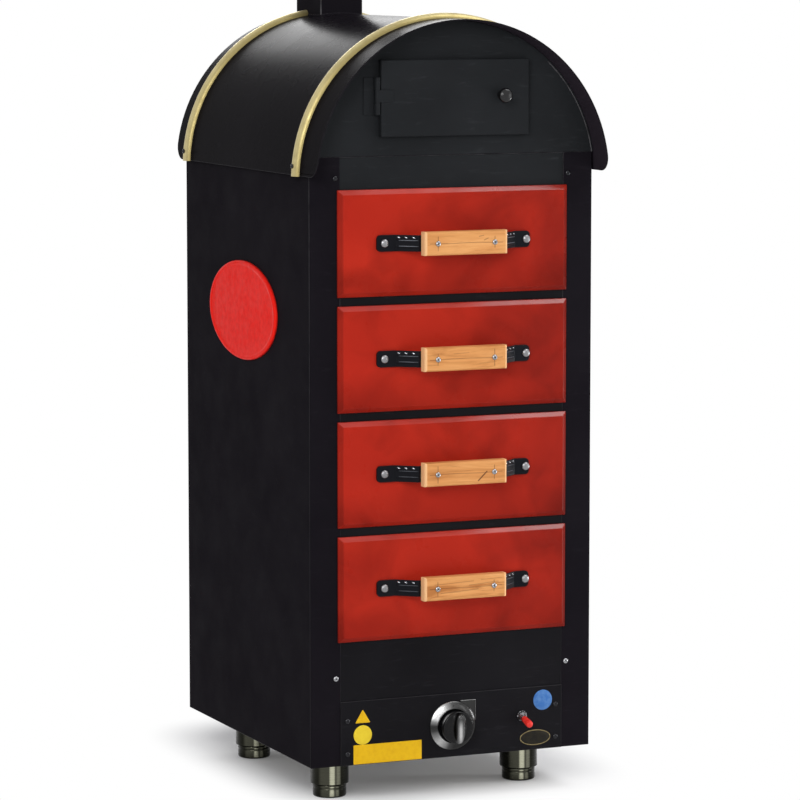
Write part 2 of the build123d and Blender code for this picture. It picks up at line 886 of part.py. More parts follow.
def gas_knob():
    """Black knob with a raised bar; its blind bore leaves room for the push."""
    skirt = rod((0, knob_back, control_z), (0, -1, 0), knob_radius, knob_skirt)
    front_rim = skirt.edges().filter_by(GeomType.CIRCLE).sort_by(Axis.Y)[0]
    skirt = fillet(front_rim, knob_skirt_round)
    half = knob_bar_width / 2
    bar = block(-half, half, knob_face, knob_back - fit, control_z - knob_bar_half,
                control_z + knob_bar_half)
    bar = fillet(bar.faces().sort_by(Axis.Y)[0].edges(), knob_bar_round)
    bore = spindle(spindle_radius + shaft_slip, spindle_flat + shaft_slip,
                   spindle_end - push_travel - knob_bore_spare, spindle_depth)
    return skirt + bar - bore


def gas_tap():
    """Tap body with its neck, and the bracket that carries it behind the fascia."""
    neck = rod((0, fit, control_z), (0, 1, 0), neck_radius, tap_front)
    body = block(-tap_half, tap_half, tap_front, tap_rear, control_z - tap_height / 2,
                 control_z + tap_height / 2)
    body = body + neck - rod((0, 0, control_z), (0, 1, 0), spindle_radius + shaft_slip,
                             spindle_depth + fit)
    bracket = block(-bracket_half, bracket_half, second_layer, third_layer - fit, lip_z + fit,
                    control_z + window_height / 2 + flange)
    return body, bracket - rod((0, 0, control_z), (0, 1, 0), neck_radius + shaft_slip, tap_front)


def switch_body():
    """Toggle switch: body behind the panel, bushing through it and a nut in front."""
    half = switch_height / 2
    body = block(switch_x - switch_half, switch_x + switch_half, 0, switch_depth,
                 switch_z - half, switch_z + half)
    seat = panel_front - fit
    body += rod((switch_x, 0, switch_z), (0, -1, 0), bushing_radius, -bushing_y)
    nut_plane = Plane(origin=(switch_x, seat, switch_z), z_dir=(0, -1, 0))
    nut = extrude(nut_plane * RegularPolygon(nut_radius, 6), nut_height)
    socket = rod((switch_x, pivot_set + 2 * ball_radius, switch_z), (0, -1, 0),
                 ball_radius + running, 3 * ball_radius)
    mouth = Plane(origin=(switch_x, bushing_y, switch_z), z_dir=(0, 1, 0))
    mouth = mouth * Cone(mouth_radius, ball_radius, pivot_set - bushing_y,
                         align=(Align.CENTER, Align.CENTER, Align.MIN))
    return body + nut - socket - mouth


def switch_lever():
    """Toggle lever with a ball in the bushing and a round-ended sleeve."""
    tilt = math.radians(lever_angle)
    along = (0, -math.cos(tilt), -math.sin(tilt))
    pivot = Vector(switch_x, pivot_set, switch_z)
    ball = Pos(pivot) * Sphere(ball_radius)
    stem = rod(tuple(pivot), along, stem_radius, sleeve_start + sleeve_radius)
    sleeve = rod(tuple(pivot + Vector(along) * sleeve_start), along, sleeve_radius,
                 sleeve_end - sleeve_start)
    rims = sleeve.edges().filter_by(GeomType.CIRCLE).sort_by(Axis(tuple(pivot), along))
    sleeve = fillet(rims[-1], sleeve_radius * dome_share)
    return ball + stem + sleeve


# ---- Burner, gas line and ignition ----

def burner():
    """Two perforated burner tubes on a front manifold, with a mixing tube and two stands."""
    shape = burner_tubes(burner_radius)
    mixer_start = (0, burner_front - burner_radius - mixer_length, control_z)
    shape += rod(mixer_start, (0, 1, 0), mixer_radius, mixer_length + burner_radius)
    for y in (burner_front + 2 * burner_radius, burner_rear - 2 * burner_radius):
        shape += burner_stand(y)
    shape -= burner_tubes(burner_radius - burner_wall)
    shape -= rod(mixer_start, (0, 1, 0), mixer_radius - burner_wall, mixer_length + burner_radius)
    step = (burner_rear - burner_front) / (port_count + 1)
    for number in range(1, port_count + 1):
        y = burner_front + number * step
        port = block(burner_half - port_length / 2, burner_half + port_length / 2,
                     y - port_width / 2, y + port_width / 2, control_z,
                     control_z + burner_radius + fit)
        shape -= Compound(both_sides(port))
    return shape


def burner_tubes(radius):
    """Two long tubes and the cross tube that joins them, with a given radius."""
    overrun = radius / 2
    front, rear = burner_front - overrun, burner_rear + radius - burner_radius
    long_tube = rod((burner_half, front, control_z), (0, 1, 0), radius, rear - front)
    cross_half = burner_half + overrun
    cross = rod((-cross_half, burner_front, control_z), (1, 0, 0), radius, 2 * cross_half)
    return long_tube + mirror(long_tube, about=Plane.YZ) + cross


def burner_stand(y):
    """Sheet stand under both burner tubes."""
    half = burner_half + stand_margin
    plate = block(-half, half, y, y + stand_sheet, floor_z + fit, control_z)
    inner = burner_half - stand_margin
    return plate - block(-inner, inner, y - fit, y + stand_sheet + fit, 0,
                         control_z - stand_bridge)


def gas_line():
    """Bent supply pipe from the threaded rear inlet to the tap, and the injector pipe."""
    z = case_z + line_rise
    end = body_depth + inlet_reach
    corner = (line_x, line_front, z)
    path = FilletPolyline((line_x, end, z), corner, (-tap_half - fit, line_front, z),
                          radius=line_bend)
    pipe = sweep(Plane(origin=path @ 0, z_dir=path % 0) * Circle(line_radius), path=path)
    inlet_start = back_inner - fit
    pipe += rod((line_x, inlet_start, z), (0, 1, 0), inlet_radius, end - inlet_start)
    pipe += rod((line_x, body_depth + fit, z), (0, 1, 0), inlet_radius + sheet, sheet)
    pipe -= rod((line_x, body_depth, z), (0, 1, 0), inlet_bore, inlet_reach + fit)
    injector = rod((0, tap_rear + fit, control_z), (0, 1, 0), injector_radius, injector_reach)
    return pipe, injector


def spark_igniter():
    """Battery spark unit on the base pan, and the electrode beside the burner."""
    low = floor_z + fit
    unit = block(spark_x - spark_width / 2, spark_x + spark_width / 2, spark_set,
                 spark_set + spark_depth, low, low + spark_height)
    x = burner_half + burner_radius + electrode_gap
    foot = rod((x, electrode_set, low), (0, 0, 1), electrode_base, electrode_base)
    stem = rod((x, electrode_set, low), (0, 0, 1), electrode_radius, electrode_rise)
    tip_z = low + electrode_rise
    tip = rod((x, electrode_set, tip_z - electrode_radius), (-1, 0, 1), electrode_tip,
              electrode_gap)
    return fillet(unit.edges().filter_by(Axis.Z), spark_round), foot + stem + tip


# ---- Badge, screws, legs and feet ----

def side_badge():
    """Oval plate with a rounded rim on the left side."""
    plane = Plane(origin=(-body_half - fit, badge_set, shoulder_z - badge_drop),
                  x_dir=(0, 1, 0), z_dir=(-1, 0, 0))
    plate = extrude(plane * Ellipse(badge_half_length, badge_half_height), badge_thick)
    return fillet(plate.faces().sort_by(Axis.X)[0].edges(), badge_round)


def case_screws():
    """Visible screws of the front, the hood and the back."""
    screws = [front_screw(x, panel_front, z) for x, z in panel_screw_places()]
    for x, z in stile_screw_places():
        screws += both_sides(front_screw(x, 0, z))
    for x, z in back_screw_places():
        screws.append(dome_screw((x, body_depth, z), (0, 1, 0), case_head_radius,
                                 case_head_height, case_shank_radius, sheet))
    return screws + hood_screws()


def front_screw(x, seat_y, z):
    """Screw in the front of the case."""
    return dome_screw((x, seat_y, z), (0, -1, 0), case_head_radius, case_head_height,
                      case_shank_radius, case_shank_length)


def leg_places():
    """Centres of the four legs: front left, front right, rear left, rear right."""
    x = body_half - leg_inset_x
    rows = (leg_inset_y, body_depth - leg_inset_y)
    return [(side * x, y) for y in rows for side in (-1, 1)]


def leg_tube(x, y):
    """Tube under the case, hollow above a plug that takes the foot's stem."""
    low = foot_height + running
    tube = rod((x, y, low), (0, 0, 1), leg_radius, case_z - fit - low)
    tube -= rod((x, y, low + leg_plug), (0, 0, 1), leg_radius - leg_wall,
                case_z - low - leg_plug - leg_wall)
    return tube - rod((x, y, 0), (0, 0, 1), foot_stem_radius + shaft_slip, case_z - leg_wall)


def foot(x, y):
    """Adjustable foot: a round pad with a stem in the leg."""
    pad = rod((x, y, 0), (0, 0, 1), foot_radius, foot_height)
    rim = pad.edges().filter_by(GeomType.CIRCLE).sort_by(Axis.Z)[0]
    return fillet(rim, foot_round) + rod((x, y, 0), (0, 0, 1), foot_stem_radius,
                                         foot_height + foot_stem)


def save_drawer(number):
    """The five sub-parts of one drawer; drawer 1 is the top one."""
    level = drawer_count - number
    save(f"drawer_{number}_front", drawer_front(level))
    save(f"drawer_{number}_tray", *drawer_tray(level))
    save(f"drawer_{number}_bracket", drawer_bracket(level))
    save(f"drawer_{number}_grip", drawer_grip(level))
    save(f"drawer_{number}_screws", *drawer_screws(level))


def save_case():
    """The case, the hood and what stands in them."""
    right_side = side_panel()
    save("right_side_panel", right_side)
    save("left_side_panel", mirror(right_side, about=Plane.YZ))
    save("front_stiles", *both_sides(front_stile()))
    save("base_pan", base_pan())
    save("back_panel", back_panel())
    save("header_panel", header_panel())
    save("drawer_rails", *[drawer_rail(level) for level in range(1, drawer_count)])
    save("lower_fascia", lower_fascia())
    save("control_panel", control_panel())
    save("arch_front", arch_front())
    save("arch_back", gable(back_inner, back_inner - flange))
    save("roof_shell", roof_shell())
    save("roof_bands", roof_band(band_front_y), roof_band(band_rear_y))
    save("flue_pipe", flue_pipe())
    save("flue_collar", flue_collar())
    save("side_badge", side_badge())
    save("case_screws", *case_screws())
    save("leg_tubes", *[leg_tube(x, y) for x, y in leg_places()])


def save_chamber():
    """The oven chamber, the burner and the gas parts."""
    save("chamber_liner", chamber_liner())
    save("chamber_ceiling", chamber_ceiling())
    save("insulation", *insulation())
    runners = [both_sides(drawer_runner(level)) for level in range(drawer_count)]
    save("drawer_runners", *[runner for pair in runners for runner in pair])
    save("baffle_plate", baffle_plate())
    save("burner", burner())
    save("gas_line", *gas_line())
    save("spark_igniter", *spark_igniter())
    save("gas_tap", *gas_tap())
    save("tap_spindle", tap_spindle())
    save("knob_bezel", knob_bezel())
    save("gas_knob", gas_knob())
    save("switch_body", switch_body())
    save("switch_lever", switch_lever())


os.makedirs("parts", exist_ok=True)
save_case()
save_chamber()
for number in range(1, drawer_count + 1):
    save_drawer(number)
save("hatch_panel", hatch_panel())
save("hatch_leaf", hatch_leaf())
save("hatch_hinge", *hatch_hinge())
save("hatch_knob", hatch_knob())
for number, (x, y) in enumerate(leg_places(), 1):
    save(f"foot_{number}", foot(x, y))
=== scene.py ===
import json
import math
import random

import bmesh
import bpy
from mathutils import Matrix, Vector

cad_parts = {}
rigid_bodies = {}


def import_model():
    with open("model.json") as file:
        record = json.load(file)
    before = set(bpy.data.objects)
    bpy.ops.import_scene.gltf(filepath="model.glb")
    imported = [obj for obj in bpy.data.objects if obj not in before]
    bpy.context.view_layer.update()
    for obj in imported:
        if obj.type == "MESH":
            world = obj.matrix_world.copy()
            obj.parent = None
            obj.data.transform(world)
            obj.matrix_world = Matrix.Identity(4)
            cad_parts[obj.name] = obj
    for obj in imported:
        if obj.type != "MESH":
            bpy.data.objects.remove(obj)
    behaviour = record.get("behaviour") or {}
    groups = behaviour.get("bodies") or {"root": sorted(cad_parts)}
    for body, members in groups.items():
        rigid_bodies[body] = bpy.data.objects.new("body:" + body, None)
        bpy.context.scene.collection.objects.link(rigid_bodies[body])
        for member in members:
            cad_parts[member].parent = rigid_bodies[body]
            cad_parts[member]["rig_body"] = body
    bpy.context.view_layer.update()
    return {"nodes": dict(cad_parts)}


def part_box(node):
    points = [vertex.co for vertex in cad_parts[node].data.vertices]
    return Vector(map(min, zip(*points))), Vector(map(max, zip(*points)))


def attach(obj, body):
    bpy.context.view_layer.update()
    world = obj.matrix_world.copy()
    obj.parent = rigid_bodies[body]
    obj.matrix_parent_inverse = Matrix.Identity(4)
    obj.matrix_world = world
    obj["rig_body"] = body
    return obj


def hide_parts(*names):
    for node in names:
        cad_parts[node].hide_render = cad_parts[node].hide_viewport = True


# Baked potato oven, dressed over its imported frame. Metres, +Z up, front facing -Y.
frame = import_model()
nodes = frame["nodes"]

MM = 0.001
FRONT_Y = -0.241             # front plane of the case
DRAWER_MIDDLES = {number: 0.82995 - 0.1681 * (number - 1) for number in range(1, 5)}
HANDLE_SCREW_X = 0.113
GRIP_SCREW_X = 0.045
KNOB_Z = 0.112
PANEL_Y = -0.24295           # just behind the face of the control panel
HOOD_AXIS_Z = 0.920


# ---- Materials ----

class Finish:
    """A principled material, and short ways to add procedural detail in object coordinates."""

    def __init__(self, name, colour=(0.5, 0.5, 0.5), **sockets):
        self.material = bpy.data.materials.new(name)
        self.material.use_nodes = True
        self.tree = self.material.node_tree
        self.shader = self.tree.nodes["Principled BSDF"]
        self.place = self.add("ShaderNodeTexCoord").outputs["Object"]
        self.shader.inputs["Base Color"].default_value = (*colour, 1)
        for socket, value in sockets.items():
            self.shader.inputs[socket.replace("_", " ")].default_value = value

    def add(self, kind, **settings):
        node = self.tree.nodes.new(kind)
        for key, value in settings.items():
            setattr(node, key, value)
        return node

    def join(self, source, target):
        self.tree.links.new(source, target)

    def stretched(self, stretch, shift=(0, 0, 0)):
        """Object coordinates times a stretch for each axis."""
        node = self.add("ShaderNodeMapping")
        node.inputs["Scale"].default_value = stretch
        node.inputs["Location"].default_value = shift
        self.join(self.place, node.inputs["Vector"])
        return node.outputs["Vector"]

    def noise(self, scale, detail=4, roughness=0.55, distortion=0.0, stretch=(1, 1, 1),
              shift=(0, 0, 0)):
        node = self.add("ShaderNodeTexNoise")
        node.inputs["Scale"].default_value = scale
        node.inputs["Detail"].default_value = detail
        node.inputs["Roughness"].default_value = roughness
        node.inputs["Distortion"].default_value = distortion
        self.join(self.stretched(stretch, shift), node.inputs["Vector"])
        return node.outputs["Fac"]

    def ramp(self, factor, *stops):
        """Colour ramp; a stop is a position and a colour or a grey level."""
        node = self.add("ShaderNodeValToRGB")
        elements = node.color_ramp.elements
        while len(elements) < len(stops):
            elements.new(0.5)
        for element, (position, colour) in zip(elements, stops):
            grey = isinstance(colour, (int, float))
            element.position = position
            element.color = (colour, colour, colour, 1) if grey else (*colour, 1)
        self.join(factor, node.inputs["Fac"])
        return node.outputs["Color"]

    def span(self, factor, low, high, start=0.0, end=1.0, kind="LINEAR"):
        """A factor from start to end, mapped to low to high and clamped."""
        node = self.add("ShaderNodeMapRange", interpolation_type=kind)
        for socket, value in zip(("From Min", "From Max", "To Min", "To Max"),
                                 (start, end, low, high)):
            node.inputs[socket].default_value = value
        self.join(factor, node.inputs["Value"])
        return node.outputs["Result"]

    def mixed(self, factor, first, second, blend="MIX"):
        """Two colours mixed by a factor; each is a socket, a colour or a number."""
        node = self.add("ShaderNodeMix", data_type="RGBA", blend_type=blend)
        for index, value in ((0, factor), (6, first), (7, second)):
            if isinstance(value, bpy.types.NodeSocket):
                self.join(value, node.inputs[index])
            elif isinstance(value, tuple):
                node.inputs[index].default_value = (*value, 1)
            else:
                node.inputs[index].default_value = value
        return node.outputs[2]

    def math(self, operation, first, second=0.0):
        node = self.add("ShaderNodeMath", operation=operation)
        for index, value in enumerate((first, second)):
            if isinstance(value, bpy.types.NodeSocket):
                self.join(value, node.inputs[index])
            else:
                node.inputs[index].default_value = value
        return node.outputs[0]

    def bump(self, *layers):
        """Bump from height layers, each a factor and its depth in metres."""
        normal = None
        for height, depth in layers:
            node = self.add("ShaderNodeBump")
            node.inputs["Strength"].default_value = 1
            node.inputs["Distance"].default_value = depth
            self.join(height, node.inputs["Height"])
            if normal:
                self.join(normal, node.inputs["Normal"])
            normal = node.outputs["Normal"]
        self.join(normal, self.shader.inputs["Normal"])

    def colour(self, socket):
        self.join(socket, self.shader.inputs["Base Color"])

    def rough(self, socket):
        self.join(socket, self.shader.inputs["Roughness"])


def black_paint(name, dark, light, roughness, level, scuffs=0.0, peel=1.0):
    """Sprayed black paint: faint cloudiness, orange peel, specks and fine rubbed scratches."""
    paint = Finish(name, light, Specular_IOR_Level=level)
    clouds = paint.noise(5, 5)
    base = paint.mixed(paint.span(clouds, 0, 1, 0.3, 0.7), dark, light)
    rubs = paint.ramp(paint.noise(60, 6, 0.7, 0.6, (0.35, 1, 2.4)), (0.58, 0), (0.76, 1))
    worn = tuple(channel * 2.6 + 0.008 for channel in light)
    base = paint.mixed(paint.math("MULTIPLY", rubs, 0.15 + scuffs), base, worn)
    specks = paint.ramp(paint.noise(900, 2), (0.70, 0), (0.78, 1))
    base = paint.mixed(paint.math("MULTIPLY", specks, 0.3), base, worn)
    paint.colour(base)
    paint.rough(paint.span(paint.noise(18, 4), roughness - 0.07 * peel, roughness + 0.09 * peel,
                           0.3, 0.7))
    paint.bump((paint.noise(420, 2), 0.00008 * peel), (rubs, 0.00003 * peel))
    return paint.material


def edge_wear_and_highlight(name, colour, roughness, level, rubbed=0.01):
    """Thin lighter paint on an edge: a painted highlight along it, also rubbed lighter in patches,
    more so high up where hands reach.
    """
    edge = Finish(name, colour, Specular_IOR_Level=level)
    split = edge.add("ShaderNodeSeparateXYZ")
    edge.join(edge.place, split.inputs[0])
    reach = edge.span(split.outputs["Z"], 0.15, 1.0, 0.55, 0.92)
    patches = edge.ramp(edge.noise(45, 5, 0.6), (0.30, 0), (0.55, 1))
    # The lighter colour is partly rubbed wear and partly a painted highlight along the edge.
    lighter = tuple(channel * 2.2 + rubbed for channel in colour)
    edge.colour(edge.mixed(edge.math("MULTIPLY", patches, reach), colour, lighter))
    edge.rough(edge.span(edge.noise(80, 3), roughness - 0.08, roughness + 0.08))
    return edge.material


def red_enamel(name, seed, level=0.06, gloss=(0.30, 0.30)):
    """Stoved red enamel, mottled, with painted shade: darker to the right, along the bottom and on
    faces turned sideways; its gloss runs across it.
    """
    enamel = Finish(name, (0.42, 0.022, 0.011), Specular_IOR_Level=level)
    whole = enamel.add("ShaderNodeTexCoord").outputs["Generated"]
    split = enamel.add("ShaderNodeSeparateXYZ")
    enamel.join(whole, split.inputs[0])
    across, up = split.outputs["X"], split.outputs["Z"]
    cloud = enamel.noise(8, 3, 0.5, 1.2, shift=(seed, 0, seed))
    wander = enamel.span(cloud, -0.22, 0.22, 0.3, 0.7)
    # Painted shade: lighter on the left, darker to the right.
    base = enamel.ramp(enamel.math("ADD", across, wander), (0.0, (0.42, 0.0205, 0.0100)),
                       (0.30, (0.45, 0.0235, 0.0110)), (0.58, (0.41, 0.0215, 0.0105)),
                       (1.0, (0.27, 0.0150, 0.0085)))
    patches = enamel.span(enamel.noise(13, 4, 0.5, 0.6, shift=(0, seed, seed)), 1.04, 0.74,
                          0.42, 0.72)
    # Painted shade: darker along the bottom.
    foot = enamel.span(enamel.math("ADD", up, enamel.span(cloud, -0.08, 0.08, 0.3, 0.7)),
                       0.70, 1.0, 0.0, 0.38)
    # Painted shade: faces turned sideways are darker.
    turned = enamel.add("ShaderNodeSeparateXYZ")
    enamel.join(enamel.add("ShaderNodeTexCoord").outputs["Normal"], turned.inputs[0])
    rim = enamel.span(enamel.math("ABSOLUTE", turned.outputs["X"]), 1.0, 0.72, 0.1, 0.7)
    shade = enamel.math("MULTIPLY", enamel.math("MULTIPLY", patches, foot), rim)
    base = enamel.mixed(1.0, base, enamel.ramp(shade, (0.0, 0.0), (1.0, 1.0)), "MULTIPLY")
    flecks = enamel.ramp(enamel.noise(260, 3, 0.7), (0.60, 0), (0.75, 1))
    base = enamel.mixed(enamel.math("MULTIPLY", flecks, 0.14), base, (0.20, 0.012, 0.008))
    enamel.colour(base)
    gloss_here = enamel.span(across, *gloss)
    enamel.rough(enamel.math("ADD", gloss_here,
                             enamel.span(enamel.noise(22, 4), -0.07, 0.07, 0.3, 0.7)))
    enamel.bump((enamel.noise(160, 2), 0.00005), (enamel.noise(14, 2), 0.0003))
    return enamel.material


def grip_wood(name, seed, darkness):
    """Oiled beech with long grain, pores and paler end grain; marks come with the mesh."""
    wood = Finish(name, (0.8, 0.37, 0.14), Specular_IOR_Level=0.12)
    shift = (seed, seed * 0.7, seed * 1.3)
    grain = wood.noise(70, 6, 0.6, 1.2, (0.10, 1, 1), shift)
    tone = wood.noise(9, 3, 0.5, 0.4, (0.35, 1, 1), shift)
    light, middle, dark = (0.80, 0.41, 0.155), (0.69, 0.315, 0.105), (0.46, 0.175, 0.050)
    base = wood.ramp(grain, (0.28, light), (0.5, middle), (0.70 - darkness, dark))
    base = wood.mixed(wood.span(tone, 0, 0.5, 0.35, 0.7), base, (0.57, 0.23, 0.068))
    pores = wood.ramp(wood.noise(420, 3, 0.6, 0, (0.06, 1, 1), shift), (0.60, 0), (0.72, 1))
    base = wood.mixed(wood.math("MULTIPLY", pores, 0.35), base, (0.34, 0.12, 0.035))
    ends = wood.add("ShaderNodeAttribute", attribute_name="end_grain").outputs["Fac"]
    pale = wood.mixed(wood.span(wood.noise(500, 4), 0.3, 1), (0.98, 0.66, 0.36),
                      (0.86, 0.46, 0.20))
    base = wood.mixed(ends, base, pale)
    marks = wood.add("ShaderNodeAttribute", attribute_name="mark").outputs["Fac"]
    base = wood.mixed(marks, base, (0.085, 0.026, 0.012))
    wood.colour(base)
    wood.rough(wood.span(grain, 0.42, 0.62, 0.3, 0.7))
    wood.bump((grain, 0.00012), (pores, -0.00008))
    return wood.material


def turned_steel(name):
    """Dark turned steel with a painted highlight: a bright band down its front that stands for a
    reflection.
    """
    steel = Finish(name, (0.06, 0.06, 0.045), Metallic=1.0)
    normal = steel.add("ShaderNodeTexCoord").outputs["Normal"]
    band = 0.0
    # Painted highlight: bright bands on the faces turned towards these directions, standing for
    # reflections.
    for degrees, low, high, strength in ((-14, 0.984, 0.999, 0.80), (-23, 0.80, 0.92, 0.08),
                                         (6, 0.988, 1.0, 0.2)):
        turned = steel.add("ShaderNodeVectorMath", operation="DOT_PRODUCT")
        steel.join(normal, turned.inputs[0])
        a = math.radians(degrees)
        turned.inputs[1].default_value = (math.sin(a), -math.cos(a), 0)
        band = steel.math("ADD", steel.span(turned.outputs["Value"], 0, strength, low, high,
                                            "SMOOTHSTEP"), band)
    lines = steel.noise(700, 3, 0.6, 0, (0.05, 0.05, 1))
    painted_band_highlight = steel.math("MULTIPLY", band, steel.span(lines, 0.80, 1.0, 0.3, 0.6))
    stains = steel.ramp(steel.noise(30, 5, 0.6), (0.35, 0), (0.72, 1))
    dark = steel.mixed(stains, (0.016, 0.016, 0.012), (0.009, 0.009, 0.007))
    steel.colour(steel.mixed(painted_band_highlight, dark, (0.56, 0.56, 0.42)))
    steel.rough(steel.span(lines, 0.16, 0.34, 0.3, 0.7))
    steel.bump((lines, 0.00003), (steel.noise(90, 3), 0.00005))
    return steel.material


def metal(name, colour, roughness, stretch=(1, 1, 1), stain=0.25, brush=0.00003):
    """Bare or plated metal with drawn lines along one axis and uneven tarnish."""
    finish = Finish(name, colour, Metallic=1.0)
    lines = finish.noise(700, 3, 0.6, 0, stretch)
    tarnish = finish.ramp(finish.noise(30, 5, 0.6), (0.35, 0), (0.72, 1))
    dull = tuple(channel * 0.45 for channel in colour)
    finish.colour(finish.mixed(finish.math("MULTIPLY", tarnish, stain), colour, dull))
    finish.rough(finish.span(lines, roughness - 0.07, roughness + 0.12, 0.3, 0.7))
    finish.bump((lines, brush), (finish.noise(90, 3), 0.00005))
    return finish.material


def sheet_steel(name):
    """Inner sheet with straw and blue heat tints and dull streaks."""
    finish = Finish(name, (0.42, 0.40, 0.37), Metallic=1.0)
    heat = finish.noise(7, 5, 0.6, 0.8)
    base = finish.ramp(heat, (0.30, (0.33, 0.33, 0.335)), (0.50, (0.36, 0.355, 0.34)),
                       (0.62, (0.31, 0.285, 0.25)), (0.74, (0.24, 0.24, 0.265)))
    finish.colour(base)
    streaks = finish.noise(220, 4, 0.6, 0, (1, 1, 0.06))
    finish.rough(finish.span(streaks, 0.28, 0.55, 0.3, 0.7))
    finish.bump((streaks, 0.00003), (finish.noise(25, 3), 0.0003))
    return finish.material


def brass_trim(name):
    """Polished brass strip with random brown tarnish, painted shade darkening both flanks, and fine
    lines drawn along its length.
    """
    trim = Finish(name, (0.70, 0.56, 0.25), Metallic=1.0)
    tarnish = trim.ramp(trim.noise(38, 5, 0.65), (0.42, 0), (0.78, 1))
    polished = trim.mixed(trim.math("MULTIPLY", tarnish, 0.5), (0.55, 0.47, 0.24),
                          (0.24, 0.18, 0.07))
    # Painted shade: both flanks darker, by how far the face turns forwards or backwards.
    across = trim.add("ShaderNodeSeparateXYZ")
    trim.join(trim.add("ShaderNodeTexCoord").outputs["Normal"], across.inputs[0])
    flank = trim.span(trim.math("ABSOLUTE", across.outputs["Y"]), 0, 0.85, 0.45, 0.95,
                      "SMOOTHSTEP")
    trim.colour(trim.mixed(flank, polished, (0.19, 0.15, 0.055)))
    lines = trim.noise(500, 3, 0.6, 0, (0.15, 1, 0.15))
    trim.rough(trim.span(lines, 0.34, 0.50, 0.3, 0.7))
    trim.bump((lines, 0.00002))
    return trim.material


def turned_ring(name):
    """Polished ring with painted reflections: bright and dark wedges of colour round its axis."""
    ring = Finish(name, (0.2, 0.2, 0.2), Metallic=1.0)
    across = ring.add("ShaderNodeSeparateXYZ")
    ring.join(ring.place, across.inputs[0])
    flat = ring.add("ShaderNodeCombineXYZ")
    ring.join(across.outputs["X"], flat.inputs["X"])
    ring.join(ring.math("SUBTRACT", across.outputs["Z"], KNOB_Z), flat.inputs["Y"])
    turn = ring.add("ShaderNodeTexGradient", gradient_type="RADIAL")
    ring.join(flat.outputs[0], turn.inputs[0])
    # Painted reflection: brightness set by the angle round the knob's axis.
    painted_reflection_wedges = ring.ramp(turn.outputs["Fac"], (0.0, 0.03), (0.03, 0.05), (0.083, 0.26),
                       (0.125, 0.46), (0.167, 0.28), (0.208, 0.06), (0.25, 0.025), (0.50, 0.03),
                       (0.70, 0.05), (0.764, 0.10), (0.806, 0.36), (0.847, 0.85),
                       (0.931, 0.85), (0.960, 0.26), (0.990, 0.04))
    lines = ring.noise(700, 3, 0.6)
    ring.colour(ring.mixed(ring.span(lines, 0, 0.3, 0.4, 0.7), painted_reflection_wedges, (0.03, 0.03, 0.03)))
    ring.rough(ring.span(lines, 0.14, 0.30, 0.3, 0.7))
    ring.bump((lines, 0.00002))
    return ring.material


def bar_with_painted_highlight(name):
    """Knob bar with a painted highlight along its crown and painted shade down both flanks and
    towards both ends.
    """
    bar = Finish(name, (0.1, 0.1, 0.1), Metallic=1.0)
    across = bar.add("ShaderNodeSeparateXYZ")
    bar.join(bar.place, across.inputs[0])
    grain = bar.noise(120, 4, 0.6)
    # Painted highlight: bright near the crown, painted shade down both flanks.
    painted_crown_highlight = bar.ramp(bar.span(across.outputs["X"], 0, 1, -0.009, 0.009), (0.0, 0.004),
                     (0.16, 0.01), (0.30, 0.22), (0.44, 0.62), (0.54, 0.50), (0.68, 0.14),
                     (0.86, 0.08), (1.0, 0.01))
    # Painted shade: darker towards the top and bottom ends of the bar.
    low = bar.span(bar.math("ABSOLUTE", bar.math("SUBTRACT", across.outputs["Z"], KNOB_Z - 0.006)),
                   0.1, 0.95, 0.006, 0.020)
    bar.colour(bar.mixed(bar.math("MULTIPLY", low, bar.span(grain, 0.85, 1.0, 0.3, 0.6)), painted_crown_highlight,
                         (0.02, 0.02, 0.02)))
    bar.rough(bar.span(grain, 0.22, 0.34, 0.3, 0.7))
    bar.bump((grain, 0.00002))
    return bar.material


def gloss_plastic(name, colour, roughness, level=0.5):
    """Moulded plastic with a fine texture and finger-dulled patches."""
    plastic = Finish(name, colour, Specular_IOR_Level=level)
    smudge = plastic.noise(60, 5, 0.6)
    lighter = tuple(channel * 1.5 + 0.004 for channel in colour)
    plastic.colour(plastic.mixed(plastic.span(smudge, 0, 0.6, 0.35, 0.7), colour, lighter))
    plastic.rough(plastic.span(smudge, roughness - 0.05, roughness + 0.12, 0.3, 0.7))
    plastic.bump((plastic.noise(1400, 2), 0.00001))
    return plastic.material


def label_ink(name, colour, second=None, level=0.14):
    """Printed film: even colour with faint mottle and rubbed corners."""
    film = Finish(name, colour, Specular_IOR_Level=level)
    second = second or tuple(channel * 0.8 for channel in colour)
    film.colour(film.mixed(film.span(film.noise(140, 4), 0, 0.7, 0.4, 0.7), colour, second))
    film.rough(film.span(film.noise(90, 3), 0.28, 0.5, 0.3, 0.7))
    film.bump((film.noise(800, 2), 0.00002))
    return film.material


def mineral_wool(name):
    """Matted fibres in straw and grey."""
    wool = Finish(name, (0.35, 0.29, 0.16), Roughness=0.95, Specular_IOR_Level=0.1)
    fibres = wool.noise(260, 8, 0.75, 2.0, (1, 1, 0.25))
    wool.colour(wool.ramp(fibres, (0.3, (0.16, 0.12, 0.06)), (0.55, (0.42, 0.34, 0.18)),
                          (0.75, (0.62, 0.54, 0.34))))
    wool.bump((fibres, 0.0015))
    return wool.material


def cast_iron(name):
    """Burner iron: grey-brown skin with rust in its grain."""
    iron = Finish(name, (0.05, 0.045, 0.04), Metallic=0.6, Specular_IOR_Level=0.3)
    rust = iron.ramp(iron.noise(40, 6, 0.7), (0.45, 0), (0.7, 1))
    iron.colour(iron.mixed(rust, (0.045, 0.043, 0.042), (0.16, 0.065, 0.03)))
    iron.rough(iron.span(rust, 0.5, 0.85))
    iron.bump((iron.noise(500, 5, 0.7), 0.0003))
    return iron.material


